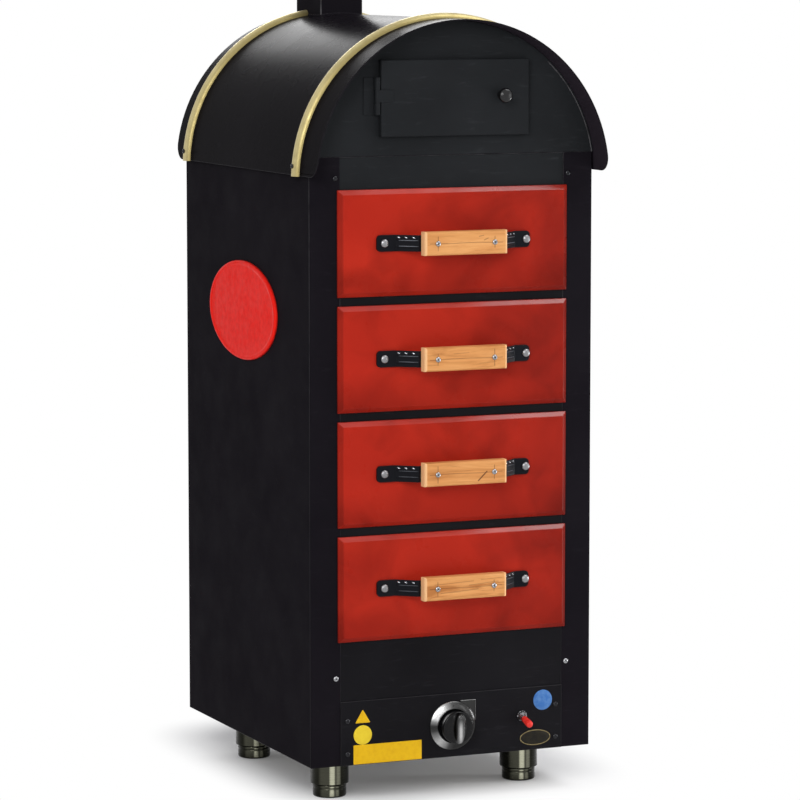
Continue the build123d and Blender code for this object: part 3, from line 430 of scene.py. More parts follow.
CASE = black_paint("case_paint", (0.0080, 0.0068, 0.0092), (0.0115, 0.0100, 0.0128), 0.55,
                   0.005)
FRONT = black_paint("front_paint", (0.0068, 0.0064, 0.0076), (0.0108, 0.0104, 0.0122), 0.46,
                    0.03, 0.20)
GABLE = black_paint("gable_paint", (0.0118, 0.0128, 0.0142), (0.0182, 0.0198, 0.0218), 0.46,
                    0.045, 0.15)
HOOD = black_paint("hood_paint", (0.0048, 0.0040, 0.0054), (0.0070, 0.0059, 0.0078), 0.27,
                   0.0045, peel=0.2)
HOOD_INNER = black_paint("hood_inner_paint", (0.020, 0.016, 0.021), (0.028, 0.023, 0.030), 0.6,
                         0.01)
# Edge paints are lighter than the panels: partly rubbed wear, partly a painted highlight along the
# edges.
EDGE = edge_wear_and_highlight("edge_paint", (0.014, 0.013, 0.015), 0.4, 0.08, 0.055)
HOOD_EDGE = edge_wear_and_highlight("hood_edge_paint", (0.0065, 0.0058, 0.0072), 0.4, 0.02, 0.002)
STRAP = black_paint("strap_enamel", (0.004, 0.004, 0.006), (0.007, 0.008, 0.011), 0.30, 0.08,
                    -0.10, 0.3)
# Painted highlight lines along the strap's ribs.
STRAP_HIGHLIGHT = edge_wear_and_highlight("strap_edge", (0.045, 0.050, 0.060), 0.30, 0.2, 0.05)
# Bright metal pips on the black strap stand in for its glints: a painted highlight.
PIP_GLINT = metal("pip_glint_metal", (0.36, 0.37, 0.40), 0.22)
STEEL = sheet_steel("sheet_steel")
SCREW = metal("screw_steel", (0.34, 0.34, 0.355), 0.24)
RECESS = metal("screw_recess", (0.04, 0.04, 0.045), 0.5)
DOME = metal("domed_screw", (0.27, 0.27, 0.28), 0.34)
STAINLESS = turned_steel("turned_stainless")
DARK_SCREW = metal("blackened_screw", (0.030, 0.030, 0.033), 0.20)
BEZEL = turned_ring("polished_ring")
LUG = metal("ring_lug", (0.26, 0.26, 0.26), 0.3)
BAR = bar_with_painted_highlight("knob_bar")
BRASS = brass_trim("brass_trim")
BADGE = label_ink("badge_enamel", (0.94, 0.018, 0.011), (0.80, 0.016, 0.010), 0.04)
KNOB = gloss_plastic("knob_black", (0.0030, 0.0030, 0.0035), 0.17, 0.18)
PULL = gloss_plastic("pull_black", (0.0040, 0.0040, 0.0045), 0.14, 0.40)
POINTER = label_ink("knob_pointer", (0.55, 0.55, 0.56))
LEVER = gloss_plastic("lever_red", (0.66, 0.030, 0.022), 0.22, 0.25)
GAS = metal("gas_brass", (0.62, 0.45, 0.22), 0.35, (1, 1, 1), 0.4)
SPARK = gloss_plastic("spark_white", (0.62, 0.61, 0.57), 0.3, 0.4)
WOOL = mineral_wool("mineral_wool")
IRON = cast_iron("burner_iron")
YELLOW = label_ink("yellow_film", (0.78, 0.47, 0.008), (0.70, 0.38, 0.007))
PALE_YELLOW = label_ink("pale_yellow_film", (0.80, 0.60, 0.035), (0.74, 0.52, 0.025))
BLUE = label_ink("blue_film", (0.045, 0.155, 0.44), (0.13, 0.27, 0.52))
OLIVE = label_ink("olive_film", (0.010, 0.009, 0.007), (0.022, 0.018, 0.009))
TAN = metal("tan_trim", (0.20, 0.16, 0.08), 0.36)
DIMPLE = gloss_plastic("dark_dimple", (0.01, 0.01, 0.01), 0.5)


# ---- Pieces ----

def piece(name, mesh, body, slot, *materials, replaces=()):
    """A shown piece: it rides on a body and takes the given materials; the slot is not used."""
    made = bpy.data.objects.new(name, mesh)
    bpy.context.scene.collection.objects.link(made)
    for material in materials:
        mesh.materials.append(material)
    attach(made, body)
    if replaces:
        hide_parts(*replaces)
    return made


def to_mesh(name, shape, smooth=True):
    """Mesh data from a bmesh, with outward normals."""
    bmesh.ops.recalc_face_normals(shape, faces=shape.faces)
    mesh = bpy.data.meshes.new(name)
    shape.to_mesh(mesh)
    shape.free()
    for polygon in mesh.polygons:
        polygon.use_smooth = smooth
    return mesh


def even_normals(made):
    """Weighted normals, so that flats stay flat beside rounded edges."""
    modifier = made.modifiers.new("normals", "WEIGHTED_NORMAL")
    modifier.keep_sharp = True
    modifier.weight = 80


def mark_edges(shape, width, sharp):
    """Bevel weights for sharp edges, less where edges are short, and the angle to keep sharp."""
    layer = shape.edges.layers.float.new("bevel_weight_edge")
    edges = [edge for edge in shape.edges
             if len(edge.link_faces) == 2 and edge.calc_face_angle(0) > sharp]
    shortest = {}
    for edge in edges:
        for vertex in edge.verts:
            length = edge.calc_length()
            shortest[vertex] = min(length, shortest.get(vertex, length))
    for edge in edges:
        reach = min(shortest[vertex] for vertex in edge.verts)
        edge[layer] = min(1.0, 0.42 * reach / width)


def soften(node, width, slot, material, edge=None, name=None, sharp=30, steps=2):
    """A copy of a CAD node with bevelled edges, which stands for the node."""
    source = nodes[node]
    shape = bmesh.new()
    shape.from_mesh(source.data)
    bmesh.ops.remove_doubles(shape, verts=shape.verts, dist=2e-6)
    bmesh.ops.dissolve_limit(shape, angle_limit=math.radians(0.3), verts=shape.verts,
                             edges=shape.edges)
    mark_edges(shape, width, math.radians(sharp))
    mesh = to_mesh(name or node, shape)
    while mesh.materials:
        mesh.materials.pop()
    made = piece(f"dressed_{name or node}", mesh, source["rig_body"], slot, material,
                 *([edge] if edge else []), replaces=[node])
    bevel = made.modifiers.new("edges", "BEVEL")
    bevel.limit_method = "WEIGHT"
    bevel.width = width
    bevel.segments = steps
    bevel.use_clamp_overlap = False
    bevel.material = 1 if edge else -1
    even_normals(made)
    return made


def repaint(node, material):
    """Another material on a CAD node that is shown as it is."""
    slots = nodes[node].data.materials
    if len(slots):
        for index in range(len(slots)):
            slots[index] = material
    else:
        slots.append(material)


def facing(centre, outward, up=(0, 0, 1)):
    """Matrix whose z axis points outward from a centre."""
    z = Vector(outward).normalized()
    x = Vector(up).cross(z)
    x = x.normalized() if x.length > 1e-6 else Vector((1, 0, 0))
    y = z.cross(x)
    turn = Matrix((x, y, z)).transposed().to_4x4()
    return Matrix.Translation(Vector(centre)) @ turn


def add_rings(shape, rings, close=True, cap=True):
    """Skin between successive rings of points, which all have the same count."""
    rows = [[shape.verts.new(point) for point in ring] for ring in rings]
    count = len(rows[0])
    made = []
    for row, after in zip(rows, rows[1:]):
        for index in range(count if close else count - 1):
            following = (index + 1) % count
            made.append(shape.faces.new((row[index], row[following], after[following],
                                         after[index])))
    if cap:
        made.append(shape.faces.new(rows[0][::-1]))
        made.append(shape.faces.new(rows[-1]))
    return made


def lathe(shape, place, profile, count=64, squeeze=1.0, cap=True):
    """Turned form from (radius, height) points along a place's z axis."""
    rings = []
    for radius, height in profile:
        turn = [2 * math.pi * index / count for index in range(count)]
        rings.append([place @ Vector((radius * math.cos(a), radius * squeeze * math.sin(a),
                                      height)) for a in turn])
    return add_rings(shape, rings, cap=cap)


def screw_head(shape, centre, outward, radius, height, twist=0.0, recess=0.42, finish=0):
    """Domed head, with a cross recess to a share of its height, as rings from the rim inward."""
    place = facing(centre, outward) @ Matrix.Rotation(twist, 4, "Z")
    count, rings = 48, []
    for share in (1.0, 0.995, 0.97, 0.92, 0.84, 0.74, 0.63, 0.54, 0.47, 0.41, 0.35, 0.29, 0.23,
                  0.17, 0.11, 0.05):
        dome = height * (0.18 + 0.82 * math.sqrt(max(0.0, 1 - share ** 2.2)))
        ring = []
        for index in range(count):
            a = 2 * math.pi * index / count
            x, y = share * math.cos(a), share * math.sin(a)
            arm = min(abs(x), abs(y))
            inside = max(0.0, min(1.0, (0.135 - arm) / 0.05)) * (share < 0.50)
            ring.append(place @ Vector((radius * x, radius * y, dome - recess * height * inside)))
        rings.append(ring)
    base = [place @ Vector((radius * math.cos(2 * math.pi * index / count),
                            radius * math.sin(2 * math.pi * index / count), 0))
            for index in range(count)]
    faces = add_rings(shape, [base] + rings)
    for face in faces:
        face.material_index = finish
        middle = place.inverted() @ face.calc_center_median()
        arm = min(abs(middle.x), abs(middle.y)) / radius
        if recess and arm < 0.10 and math.hypot(middle.x, middle.y) < 0.46 * radius and middle.z > 0:
            face.material_index = 1


def shank(shape, centre, inward, radius, length):
    """Plain shank of a screw, bevelled at its end."""
    lathe(shape, facing(centre, inward), [(radius, 0), (radius, length - radius * 0.4),
                                          (radius * 0.6, length)], 24)


def hex_nut(shape, centre, outward, radius, height):
    """Six-sided nut with chamfered corners."""
    place = facing(centre, outward)
    rings = []
    for share, level in ((1.0, 0.0), (1.0, 0.78), (0.90, 1.0), (0.55, 1.0)):
        ring = []
        for index in range(36):
            a = 2 * math.pi * index / 36
            flat = math.cos(math.pi / 6) / math.cos((a % (math.pi / 3)) - math.pi / 6)
            reach = min(flat, 1.0 if share == 1.0 else share) * radius
            ring.append(place @ Vector((reach * math.cos(a), reach * math.sin(a),
                                        level * height)))
        rings.append(ring)
    add_rings(shape, rings)


# ---- Case and hood ----

def case():
    """Sheet-metal case with softened edges in lighter edge paint: partly rubbed wear, partly a
    painted highlight.
    """
    for node in ("left_side_panel", "right_side_panel", "front_stiles", "back_panel"):
        soften(node, 0.7 * MM, "case", CASE, EDGE)
    for node in ("drawer_rails", "lower_fascia"):
        soften(node, 0.5 * MM, "case", FRONT, EDGE)
    soften("header_panel", 0.5 * MM, "case", GABLE, EDGE)
    soften("control_panel", 0.6 * MM, "case", FRONT, EDGE)
    soften("base_pan", 0.4 * MM, "sheet_steel", STEEL)


def hood():
    """Gables, rolled hood with its inner paint, flue and brass bands."""
    soften("arch_front", 0.8 * MM, "hood", GABLE, HOOD_EDGE)
    soften("arch_back", 0.8 * MM, "hood", CASE, HOOD_EDGE)
    shell = soften("roof_shell", 0.8 * MM, "hood", HOOD, HOOD_EDGE)
    shell.data.materials.append(HOOD_INNER)
    for polygon in shell.data.polygons:
        away = Vector((polygon.center.x, 0, polygon.center.z - HOOD_AXIS_Z))
        if away.dot(polygon.normal) < -0.5 * away.length:
            polygon.material_index = 2
    soften("flue_pipe", 1.6 * MM, "hood", CASE, EDGE, steps=4)
    repaint("roof_bands", BRASS)


def gable_beads():
    """Painted sealing bead inside the hood's front rim, where the gable meets it."""
    shape = bmesh.new()
    radius = 0.2276
    for low, high in ((9, 48), (128, 171)):
        rings = []
        for step in range(90):
            a = math.radians(low + (high - low) * step / 89)
            out = Vector((math.cos(a), 0, math.sin(a)))
            centre = Vector((0, FRONT_Y - 0.2 * MM, HOOD_AXIS_Z)) + out * (radius - 0.6 * MM)
            size = (0.85 + 0.15 * math.sin(step * 1.7)) * MM
            rings.append([centre + out * size * math.cos(t) + Vector((0, size * math.sin(t), 0))
                          for t in (2 * math.pi * k / 10 for k in range(10))])
        add_rings(shape, rings)
    # The bead takes the lighter edge paint, a painted highlight along the rim.
    piece("gable_bead", to_mesh("gable_bead", shape), "cabinet", "hood", EDGE)


def flue_bead():
    """Weld bead round the foot of the flue, following the hood's curve."""
    low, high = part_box("flue_pipe")
    half, front, rear = 0.0350, low.y + 1.5 * MM, high.y - 1.5 * MM
    radius = 0.2323
    path = []
    for start, end in (((-half, front), (half, front)), ((half, front), (half, rear)),
                       ((half, rear), (-half, rear)), ((-half, rear), (-half, front))):
        for step in range(30):
            share = step / 30
            x = start[0] + (end[0] - start[0]) * share
            y = start[1] + (end[1] - start[1]) * share
            path.append(Vector((x, y, HOOD_AXIS_Z + math.sqrt(radius ** 2 - x ** 2))))
    shape = bmesh.new()
    rings = []
    for index, point in enumerate(path):
        along = (path[(index + 1) % len(path)] - path[index - 1]).normalized()
        side = along.cross(Vector((0, 0, 1))).normalized()
        up = side.cross(along)
        size = (1.5 + 0.22 * math.sin(index * 2.3)) * MM
        rings.append([point + side * size * math.cos(t) + up * size * math.sin(t)
                      for t in (2 * math.pi * k / 8 for k in range(8))])
    add_rings(shape, rings + rings[:1], cap=False)
    bmesh.ops.remove_doubles(shape, verts=shape.verts, dist=1e-6)
    piece("flue_bead", to_mesh("flue_bead", shape), "cabinet", "hood", CASE)


def badge():
    """Plain oval plate with a rounded rim, a fine border line and a gently domed field."""
    low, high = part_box("side_badge")
    centre = (low + high) / 2
    half_y, half_z = (high.y - low.y) / 2 - 2 * MM, (high.z - low.z) / 2
    depth = high.x - low.x - 2 * MM
    place = Matrix.Translation((high.x, centre.y, centre.z)) @ Matrix(
        ((0, 0, -1, 0), (-1, 0, 0, 0), (0, 1, 0, 0), (0, 0, 0, 1)))
    profile = [(1.0, 0.0), (1.0, 0.45), (0.997, 0.68), (0.990, 0.85), (0.978, 0.95),
               (0.962, 1.0), (0.945, 0.995), (0.930, 0.95), (0.918, 0.86), (0.905, 0.80),
               (0.890, 0.78), (0.80, 0.80), (0.65, 0.84), (0.45, 0.88), (0.25, 0.90),
               (0.08, 0.91)]
    rings = []
    for share, height in profile:
        inset = (1 - share) * half_z * 1.3
        rings.append([place @ Vector(((half_y - inset * (1 + 0.25 * (1 - share))) * math.cos(a),
                                      (half_z - inset * 0.77) * math.sin(a), depth * height))
                      for a in (2 * math.pi * k / 160 for k in range(160))])
    shape = bmesh.new()
    add_rings(shape, rings)
    piece("badge_plate", to_mesh("badge_plate", shape), "cabinet", "badge", BADGE,
          replaces=["side_badge"])


def case_screws():
    """Domed screws of the front, the back and the hood, at the places the CAD has them."""
    lump = bmesh.new()
    lump.from_mesh(nodes["case_screws"].data)
    bmesh.ops.remove_doubles(lump, verts=lump.verts, dist=2e-6)
    shape = bmesh.new()
    seen, twist = set(), random.Random(5)
    for start in lump.verts:
        if start in seen:
            continue
        group, waiting = [], [start]
        seen.add(start)
        while waiting:
            vertex = waiting.pop()
            group.append(vertex.co)
            for edge in vertex.link_edges:
                other = edge.other_vert(vertex)
                if other not in seen:
                    seen.add(other)
                    waiting.append(other)
        low = Vector([min(point[axis] for point in group) for axis in range(3)])
        high = Vector([max(point[axis] for point in group) for axis in range(3)])
        dress_screw(shape, low, high, twist.uniform(0, 3))
    lump.free()
    piece("case_screw_set", to_mesh("case_screw_set", shape), "cabinet", "screw",
          DARK_SCREW, RECESS, SCREW, replaces=["case_screws"])


def dress_screw(shape, low, high, twist):
    """One screw in the place of a CAD screw, whose head faces away from the oven."""
    middle, size = (low + high) / 2, high - low
    if abs(middle.x) > 0.221 and size.x > size.y * 0.6 and middle.z > 0.93:
        side = math.copysign(1, middle.x)
        head = 2.2 * MM
        tip = high.x if side > 0 else low.x
        seat = Vector((tip - side * head, middle.y, middle.z))
        outward, radius, length = (side, 0, 0), size.z / 2, size.x - head
    elif middle.y > 0:
        head = 2.2 * MM
        seat, outward = Vector((middle.x, high.y - head, middle.z)), (0, 1, 0)
        radius, length = size.z / 2, size.y - head
    else:
        head = 2.2 * MM
        seat, outward = Vector((middle.x, low.y + head, middle.z)), (0, -1, 0)
        radius, length = size.z / 2, size.y - head
    plated = middle.y < 0 and 0.15 < middle.z < 0.25
    screw_head(shape, seat, outward, radius, head, twist, finish=2 * plated)
    inward = tuple(-value for value in outward)
    shank(shape, seat, inward, radius * 0.5, max(length, 1 * MM))


# ---- Drawers ----

GRIP_MARKS = {
    1: [((0.020, 0.009), (0.027, 0.0102), 0.5, 0.5), ((0.028, 0.0035), (0.034, 0.0060), 0.6, 0.5),
        ((-0.048, -0.0005), (-0.030, 0.0005), 0.35, 0.35)],
    2: [((-0.020, 0.0075), (0.004, 0.0085), 0.35, 0.4), ((0.020, -0.008), (0.048, -0.0066), 0.3,
        0.35)],
    3: [((0.0195, -0.0118), (0.0330, 0.0010), 0.75, 0.95)],
    4: [((-0.050, 0.0062), (0.012, 0.0088), 0.4, 0.45), ((-0.040, -0.0065), (0.020, -0.0035),
        0.45, 0.5), ((0.005, 0.0030), (0.052, 0.0060), 0.4, 0.45), ((0.024, 0.010),
        (0.058, 0.0112), 0.35, 0.4)],
}


def near_segment(x, z, start, end):
    """Distance from a point to a segment in the plane of the grip."""
    run, rise = end[0] - start[0], end[1] - start[1]
    share = ((x - start[0]) * run + (z - start[1]) * rise) / (run * run + rise * rise)
    share = max(0.0, min(1.0, share))
    return math.hypot(x - start[0] - share * run, z - start[1] - share * rise)


def grip_mark(number, x, z):
    """Darkness from 0 to 1 at a point of the grip's face: middle line, screw lines, streaks."""
    soft = 0.42 * MM
    line = abs(z - 0.0004 * math.sin(70 * x + number)) / soft
    dark = 0.75 * max(0.0, 1 - line / 1.6) * (abs(x) < 0.058)
    for side in (-1, 1):
        away = math.hypot((x - side * GRIP_SCREW_X) / soft, 0)
        reach = 0.0135 - 0.002 * ((number + (side > 0)) % 3)
        fade = max(0.0, min(1.0, (reach - abs(z)) / 0.002))
        dark = max(dark, 0.85 * max(0.0, 1 - away / 1.8) * fade)
    for start, end, width, depth in GRIP_MARKS[number]:
        away = near_segment(x, z, start, end)
        dark = max(dark, depth * max(0.0, min(1.0, 1.6 - away / (width * MM))))
    return dark


def grip(number):
    """Wooden grip: a block with rounded chamfers and grooves cut at its dark lines."""
    low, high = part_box(f"drawer_{number}_grip")
    middle = DRAWER_MIDDLES[number]
    columns, rows = 264, 70
    half_x, half_z = high.x, (high.z - low.z) / 2
    shape = bmesh.new()
    mark = shape.verts.layers.float.new("mark")
    ends = shape.verts.layers.float.new("end_grain")
    grid = []
    for row in range(rows + 1):
        line = []
        for column in range(columns + 1):
            u = spread(2 * column / columns - 1, half_x, 2.5 * MM)
            v = spread(2 * row / rows - 1, half_z, 2.5 * MM)
            drop = rounding(half_x - abs(u), half_z - abs(v), 2.5 * MM)
            dark = grip_mark(number, u, v)
            vertex = shape.verts.new((u, low.y + drop + 0.35 * MM * dark * (drop < MM),
                                      middle + v))
            vertex[mark] = dark
            vertex[ends] = max(0.0, min(1.0, (abs(u) - half_x + 4.0 * MM) / (1.5 * MM)))
            line.append(vertex)
        grid.append(line)
    for row, after in zip(grid, grid[1:]):
        for a, b, c, d in zip(row, row[1:], after[1:], after):
            shape.faces.new((a, b, c, d))
    rim = grid[0] + [line[-1] for line in grid[1:]] + grid[-1][-2::-1] + [
        line[0] for line in grid[-2:0:-1]]
    back_rings = []
    for depth, inset in ((high.y - 1.2 * MM, 0.0), (high.y, 1.2 * MM)):
        ring = []
        for vertex in rim:
            x = max(-half_x + inset, min(half_x - inset, vertex.co.x))
            z = max(-half_z + inset, min(half_z - inset, vertex.co.z - middle))
            copy = shape.verts.new((x, depth, middle + z))
            copy[ends] = vertex[ends]
            ring.append(copy)
        back_rings.append(ring)
    for ring, after in ((rim, back_rings[0]), (back_rings[0], back_rings[1])):
        for index in range(len(ring)):
            following = (index + 1) % len(ring)
            shape.faces.new((ring[index], ring[following], after[following], after[index]))
    shape.faces.new(back_rings[1])
    bmesh.ops.remove_doubles(shape, verts=shape.verts, dist=1e-7)
    wood = grip_wood(f"grip_wood_{number}", 3.7 * number, 0.10 if number == 4 else 0.0)
    made = piece(f"grip_{number}", to_mesh(f"grip_{number}", shape), f"drawer_{number}",
                 "grip_wood", wood, replaces=[f"drawer_{number}_grip"])
    even_normals(made)


def spread(share, half, edge):
    """Place of a grid line, with a quarter of the lines inside the rounded edges."""
    sign, size = math.copysign(1, share), abs(share)
    if size > 0.9:
        return sign * (half - edge * (1 - size) / 0.1)
    return sign * (half - edge) * size / 0.9


def rounding(from_x, from_z, edge):
    """How far the face drops near its rim: a chamfer with soft shoulders."""
    near = min(from_x, from_z)
    if near >= edge:
        return 0.0
    share = 1 - near / edge
    return edge * share ** 1.35


def drawer(number):
    """One drawer: enamelled front, strap with ribs, grip, screws and steel tray."""
    body = f"drawer_{number}"
    enamel = red_enamel(f"drawer_enamel_{number}", 1.3 * number)
    rim = red_enamel(f"drawer_rim_{number}", 1.3 * number, 0.42, (0.62, 0.16))
    made = soften(f"{body}_front", 1.2 * MM, "drawer_enamel", enamel, rim, steps=4)
    made.modifiers["edges"].material = -1
    for polygon in made.data.polygons:
        if polygon.normal.z > 0.2 and polygon.normal.y < -0.2:
            polygon.material_index = 1
    strap(number)
    soften(f"{body}_tray", 0.3 * MM, "sheet_steel", STEEL)
    rib_highlight_lines(number)
    strap_beads(number)
    grip(number)
    handle_screws(number)


def strap(number):
    """Black strap; its right-hand pad ends just past the screw."""
    made = soften(f"drawer_{number}_bracket", 0.7 * MM, "handle_black", STRAP)
    for vertex in made.data.vertices:
        if vertex.co.x > 0.1185:
            vertex.co.x -= 6.5 * MM


def rib_highlight_lines(number):
    """Painted highlights: thin light lines along the inner edges of the ribs on both ramps."""
    shape = bmesh.new()
    middle = DRAWER_MIDDLES[number]
    for side in (-1, 1):
        for offset in (-4.2 * MM, 4.2 * MM):
            rings = []
            for step in range(13):
                share = 0.06 + 0.86 * step / 12
                x = side * (0.0938 - 0.0262 * share)
                y = FRONT_Y - 0.01385 - 0.0221 * share
                size = 0.55 * MM * math.sin(math.pi * (0.08 + 0.84 * step / 12)) ** 0.4
                rings.append([(x, y - size * 0.8 * math.cos(t), middle + offset +
                               size * 1.1 * math.sin(t))
                              for t in (2 * math.pi * k / 10 for k in range(10))])
            add_rings(shape, rings)
    piece(f"rib_highlight_lines_{number}", to_mesh(f"rib_highlight_lines_{number}", shape), f"drawer_{number}",
          "handle_black", STRAP_HIGHLIGHT)


def strap_beads(number):
    """Three small pressed pips under the top edge of each ramp of the strap, in bright metal that
    paints the glints there.
    """
    shape = bmesh.new()
    middle = DRAWER_MIDDLES[number]
    run, rise = Vector((-0.026, -0.022, 0)), 0.0082
    outward = Vector((0.65, -0.76, 0)).normalized()
    for side in (-1, 1):
        for share in (0.10, 0.42, 0.76):
            foot = Vector((0.096 - 0.0017, FRONT_Y - 0.0115, 0)) + run * share
            place = facing((side * foot.x, foot.y, middle + rise),
                           (side * outward.x, outward.y, 0))
            lathe(shape, place @ Matrix.Rotation(-0.4, 4, "Z") @ Matrix.Diagonal((2.2, 0.9, 1, 1)),
                  [(1.3 * MM, -0.4 * MM), (1.25 * MM, 0.3 * MM), (0.9 * MM, 0.8 * MM),
                   (0.4 * MM, 1.0 * MM)], 20)
    piece(f"strap_pips_{number}", to_mesh(f"strap_pips_{number}", shape), f"drawer_{number}",
          "handle_black", PIP_GLINT)


def handle_screws(number):
    """Two handle screws with nuts inside the tray, and two grip screws."""
    shape = bmesh.new()
    middle, twist = DRAWER_MIDDLES[number], random.Random(number)
    for side in (-1, 1):
        seat = (side * HANDLE_SCREW_X, FRONT_Y - 0.0115, middle)
        screw_head(shape, seat, (0, -1, 0), 6 * MM, 3.5 * MM, recess=0, finish=2)
        shank(shape, seat, (0, 1, 0), 2.5 * MM, 15.5 * MM)
        hex_nut(shape, (side * HANDLE_SCREW_X, -0.2399, middle), (0, 1, 0), 4.5 * MM, 3 * MM)
        seat = (side * GRIP_SCREW_X, -0.2905, middle)
        screw_head(shape, seat, (0, -1, 0), 4 * MM, 2.5 * MM, twist.uniform(0, 3))
        shank(shape, seat, (0, 1, 0), 2 * MM, 19.5 * MM)
    piece(f"handle_screws_{number}", to_mesh(f"handle_screws_{number}", shape),
          f"drawer_{number}", "screw", SCREW, RECESS, DOME,
          replaces=[f"drawer_{number}_screws"])


# ---- Hatch ----

def hatch():
    """Warming-compartment door, its hinge and its round pull."""
    soften("hatch_panel", 0.5 * MM, "hood", GABLE, HOOD_EDGE)
    soften("hatch_leaf", 0.3 * MM, "screw", GABLE)
    soften("hatch_hinge", 0.3 * MM, "screw", GABLE)
    low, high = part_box("hatch_knob")
    centre = (low + high) / 2
    place = facing((centre.x, high.y, centre.z), (0, -1, 0))
    depth = high.y - low.y
    profile = [(6.2 * MM, 0), (6.2 * MM, 1.2 * MM), (5.0 * MM, 2.2 * MM), (4.9 * MM, 7 * MM),
               (5.6 * MM, 10 * MM), (8.2 * MM, 11.4 * MM)]
    for step in range(9):
        a = math.radians(-40 + 130 * step / 8)
        profile.append((max(1e-5, 5.4 * MM + 5.6 * MM * math.cos(a)),
                        depth - 6.6 * MM + 6.0 * MM * math.sin(a)))
    profile += [(3 * MM, depth - 0.25 * MM), (1e-5, depth)]
    shape = bmesh.new()
    lathe(shape, place, profile, 48)
    piece("hatch_pull", to_mesh("hatch_pull", shape), "hatch", "knob_black", PULL,
          replaces=["hatch_knob"])


# ---- Controls ----

def knob():
    """Gas knob: a turned skirt, a bar with hollow flanks across it and a pointer line."""
    low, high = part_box("gas_knob")
    place = facing((0, high.y, KNOB_Z), (0, -1, 0))
    shape = bmesh.new()
    skirt, top = 17.0, (high.y - low.y) / MM
    bore, bore_end = 4.2, 21.5
    turned = ((bore, 16.6), (bore, 0), (21, 0), (22.5, 0.8), (23.2, 2.5), (23.6, 8), (24.3, 13),
              (24.4, 15.2), (23.8, 16.4), (22.6, skirt), (18, 16.8), (10, 16.6), (bore, 16.6))
    lathe(shape, place, [(radius * MM, height * MM) for radius, height in turned], 96, cap=False)
    bmesh.ops.remove_doubles(shape, verts=shape.verts, dist=1e-7)
    rings = [[place @ Vector((bore * math.cos(t) * MM, bore * math.sin(t) * MM, height * MM))
              for t in (2 * math.pi * k / 72 for k in range(72))]
             for height in (bore_end, skirt - 0.9)]
    for wide, long, share in ((15.0, 23.2, 0), (11.5, 23.3, 0.10), (9.4, 23.2, 0.24),
                              (8.4, 22.8, 0.42), (7.9, 22.2, 0.62), (7.2, 21.4, 0.78),
                              (6.2, 20.6, 0.89), (4.6, 19.6, 0.955), (2.6, 18.4, 0.99),
                              (0.6, 17.4, 1.0)):
        height = skirt - 0.9 + (top - skirt + 0.9) * share
        ring = []
        for index in range(72):
            t = 2 * math.pi * index / 72
            x = math.copysign(abs(math.cos(t)) ** 0.9, math.cos(t)) * wide
            y = math.sin(t) * long
            ring.append(place @ Vector((x * MM, y * MM, height * MM)))
        rings.append(ring)
    add_rings(shape, rings)
    moulding = piece("gas_knob_moulding", to_mesh("gas_knob_moulding", shape), "gas_knob",
                     "knob_black", KNOB, replaces=["gas_knob"])
    moulding.data.materials.append(BAR)
    for polygon in moulding.data.polygons:
        # The upper part of the bar takes the bar paint with its painted highlight and shade.
        polygon.material_index = int(polygon.center.y < high.y - 18.5 * MM)
    line = bmesh.new()
    add_rings(line, [[place @ Vector((x * MM, y * MM, z * MM)) for x, y in
                      ((-0.6, 11), (0.6, 11), (0.6, 17), (-0.6, 17))]
                     for z in (top - 1.4, top - 0.03)])
    piece("gas_knob_pointer", to_mesh("gas_knob_pointer", line, False), "gas_knob",
          "knob_black", POINTER)


def bezel():
    """Polished ring that slopes outward from its crest, its lug and two small dark dimples."""
    place = facing((0, PANEL_Y, KNOB_Z), (0, -1, 0))
    turned = ((24.5, 0), (24.5, 4.4), (24.9, 5.5), (25.9, 5.9), (28.5, 5.4), (32.0, 4.3),
              (35.0, 2.9), (36.4, 1.7), (36.75, 0.6), (36.75, 0), (24.5, 0))
    rings = [[place @ Vector((radius * math.cos(a) * MM, radius * math.sin(a) * MM, height * MM))
              for a in (2 * math.pi * k / 128 for k in range(128))] for radius, height in turned]
    shape = bmesh.new()
    add_rings(shape, rings, cap=False)
    low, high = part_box("knob_bezel")
    reach, rise, near = high.x, high.z - KNOB_Z, 19 * MM
    lug = corner_round([(near, near), (reach, 6 * MM), (reach, rise), (12 * MM, rise)], 0.8 * MM)
    add_rings(shape, [[place @ Vector((near + (x - near) * share, near + (z - near) * share,
                                       height * MM)) for x, z in lug]
                      for share, height in ((1, 0), (1, 1.1), (0.97, 1.5))])
    bmesh.ops.remove_doubles(shape, verts=shape.verts, dist=1e-7)
    # The ring's paint carries painted reflections.
    ring = piece("bezel_ring", to_mesh("bezel_ring", shape), "cabinet", "stainless", BEZEL,
                 replaces=["knob_bezel"])
    ring.data.materials.append(LUG)
    for polygon in ring.data.polygons:
        off = polygon.center - Vector((0, 0, KNOB_Z))
        polygon.material_index = int(math.hypot(off.x, off.z) > 36.9 * MM)
    even_normals(ring)
    dots = bmesh.new()
    for turn in (90, 180):
        a = math.radians(turn)
        centre = (30 * MM * math.cos(a), PANEL_Y - 5.0 * MM, KNOB_Z + 30 * MM * math.sin(a))
        lathe(dots, facing(centre, (0, -1, 0)), [(1.3 * MM, -1.2 * MM), (1.3 * MM, 0.1 * MM),
                                                 (0.9 * MM, 0.3 * MM)], 24)
    piece("bezel_dimples", to_mesh("bezel_dimples", dots), "cabinet", "stainless", DIMPLE)


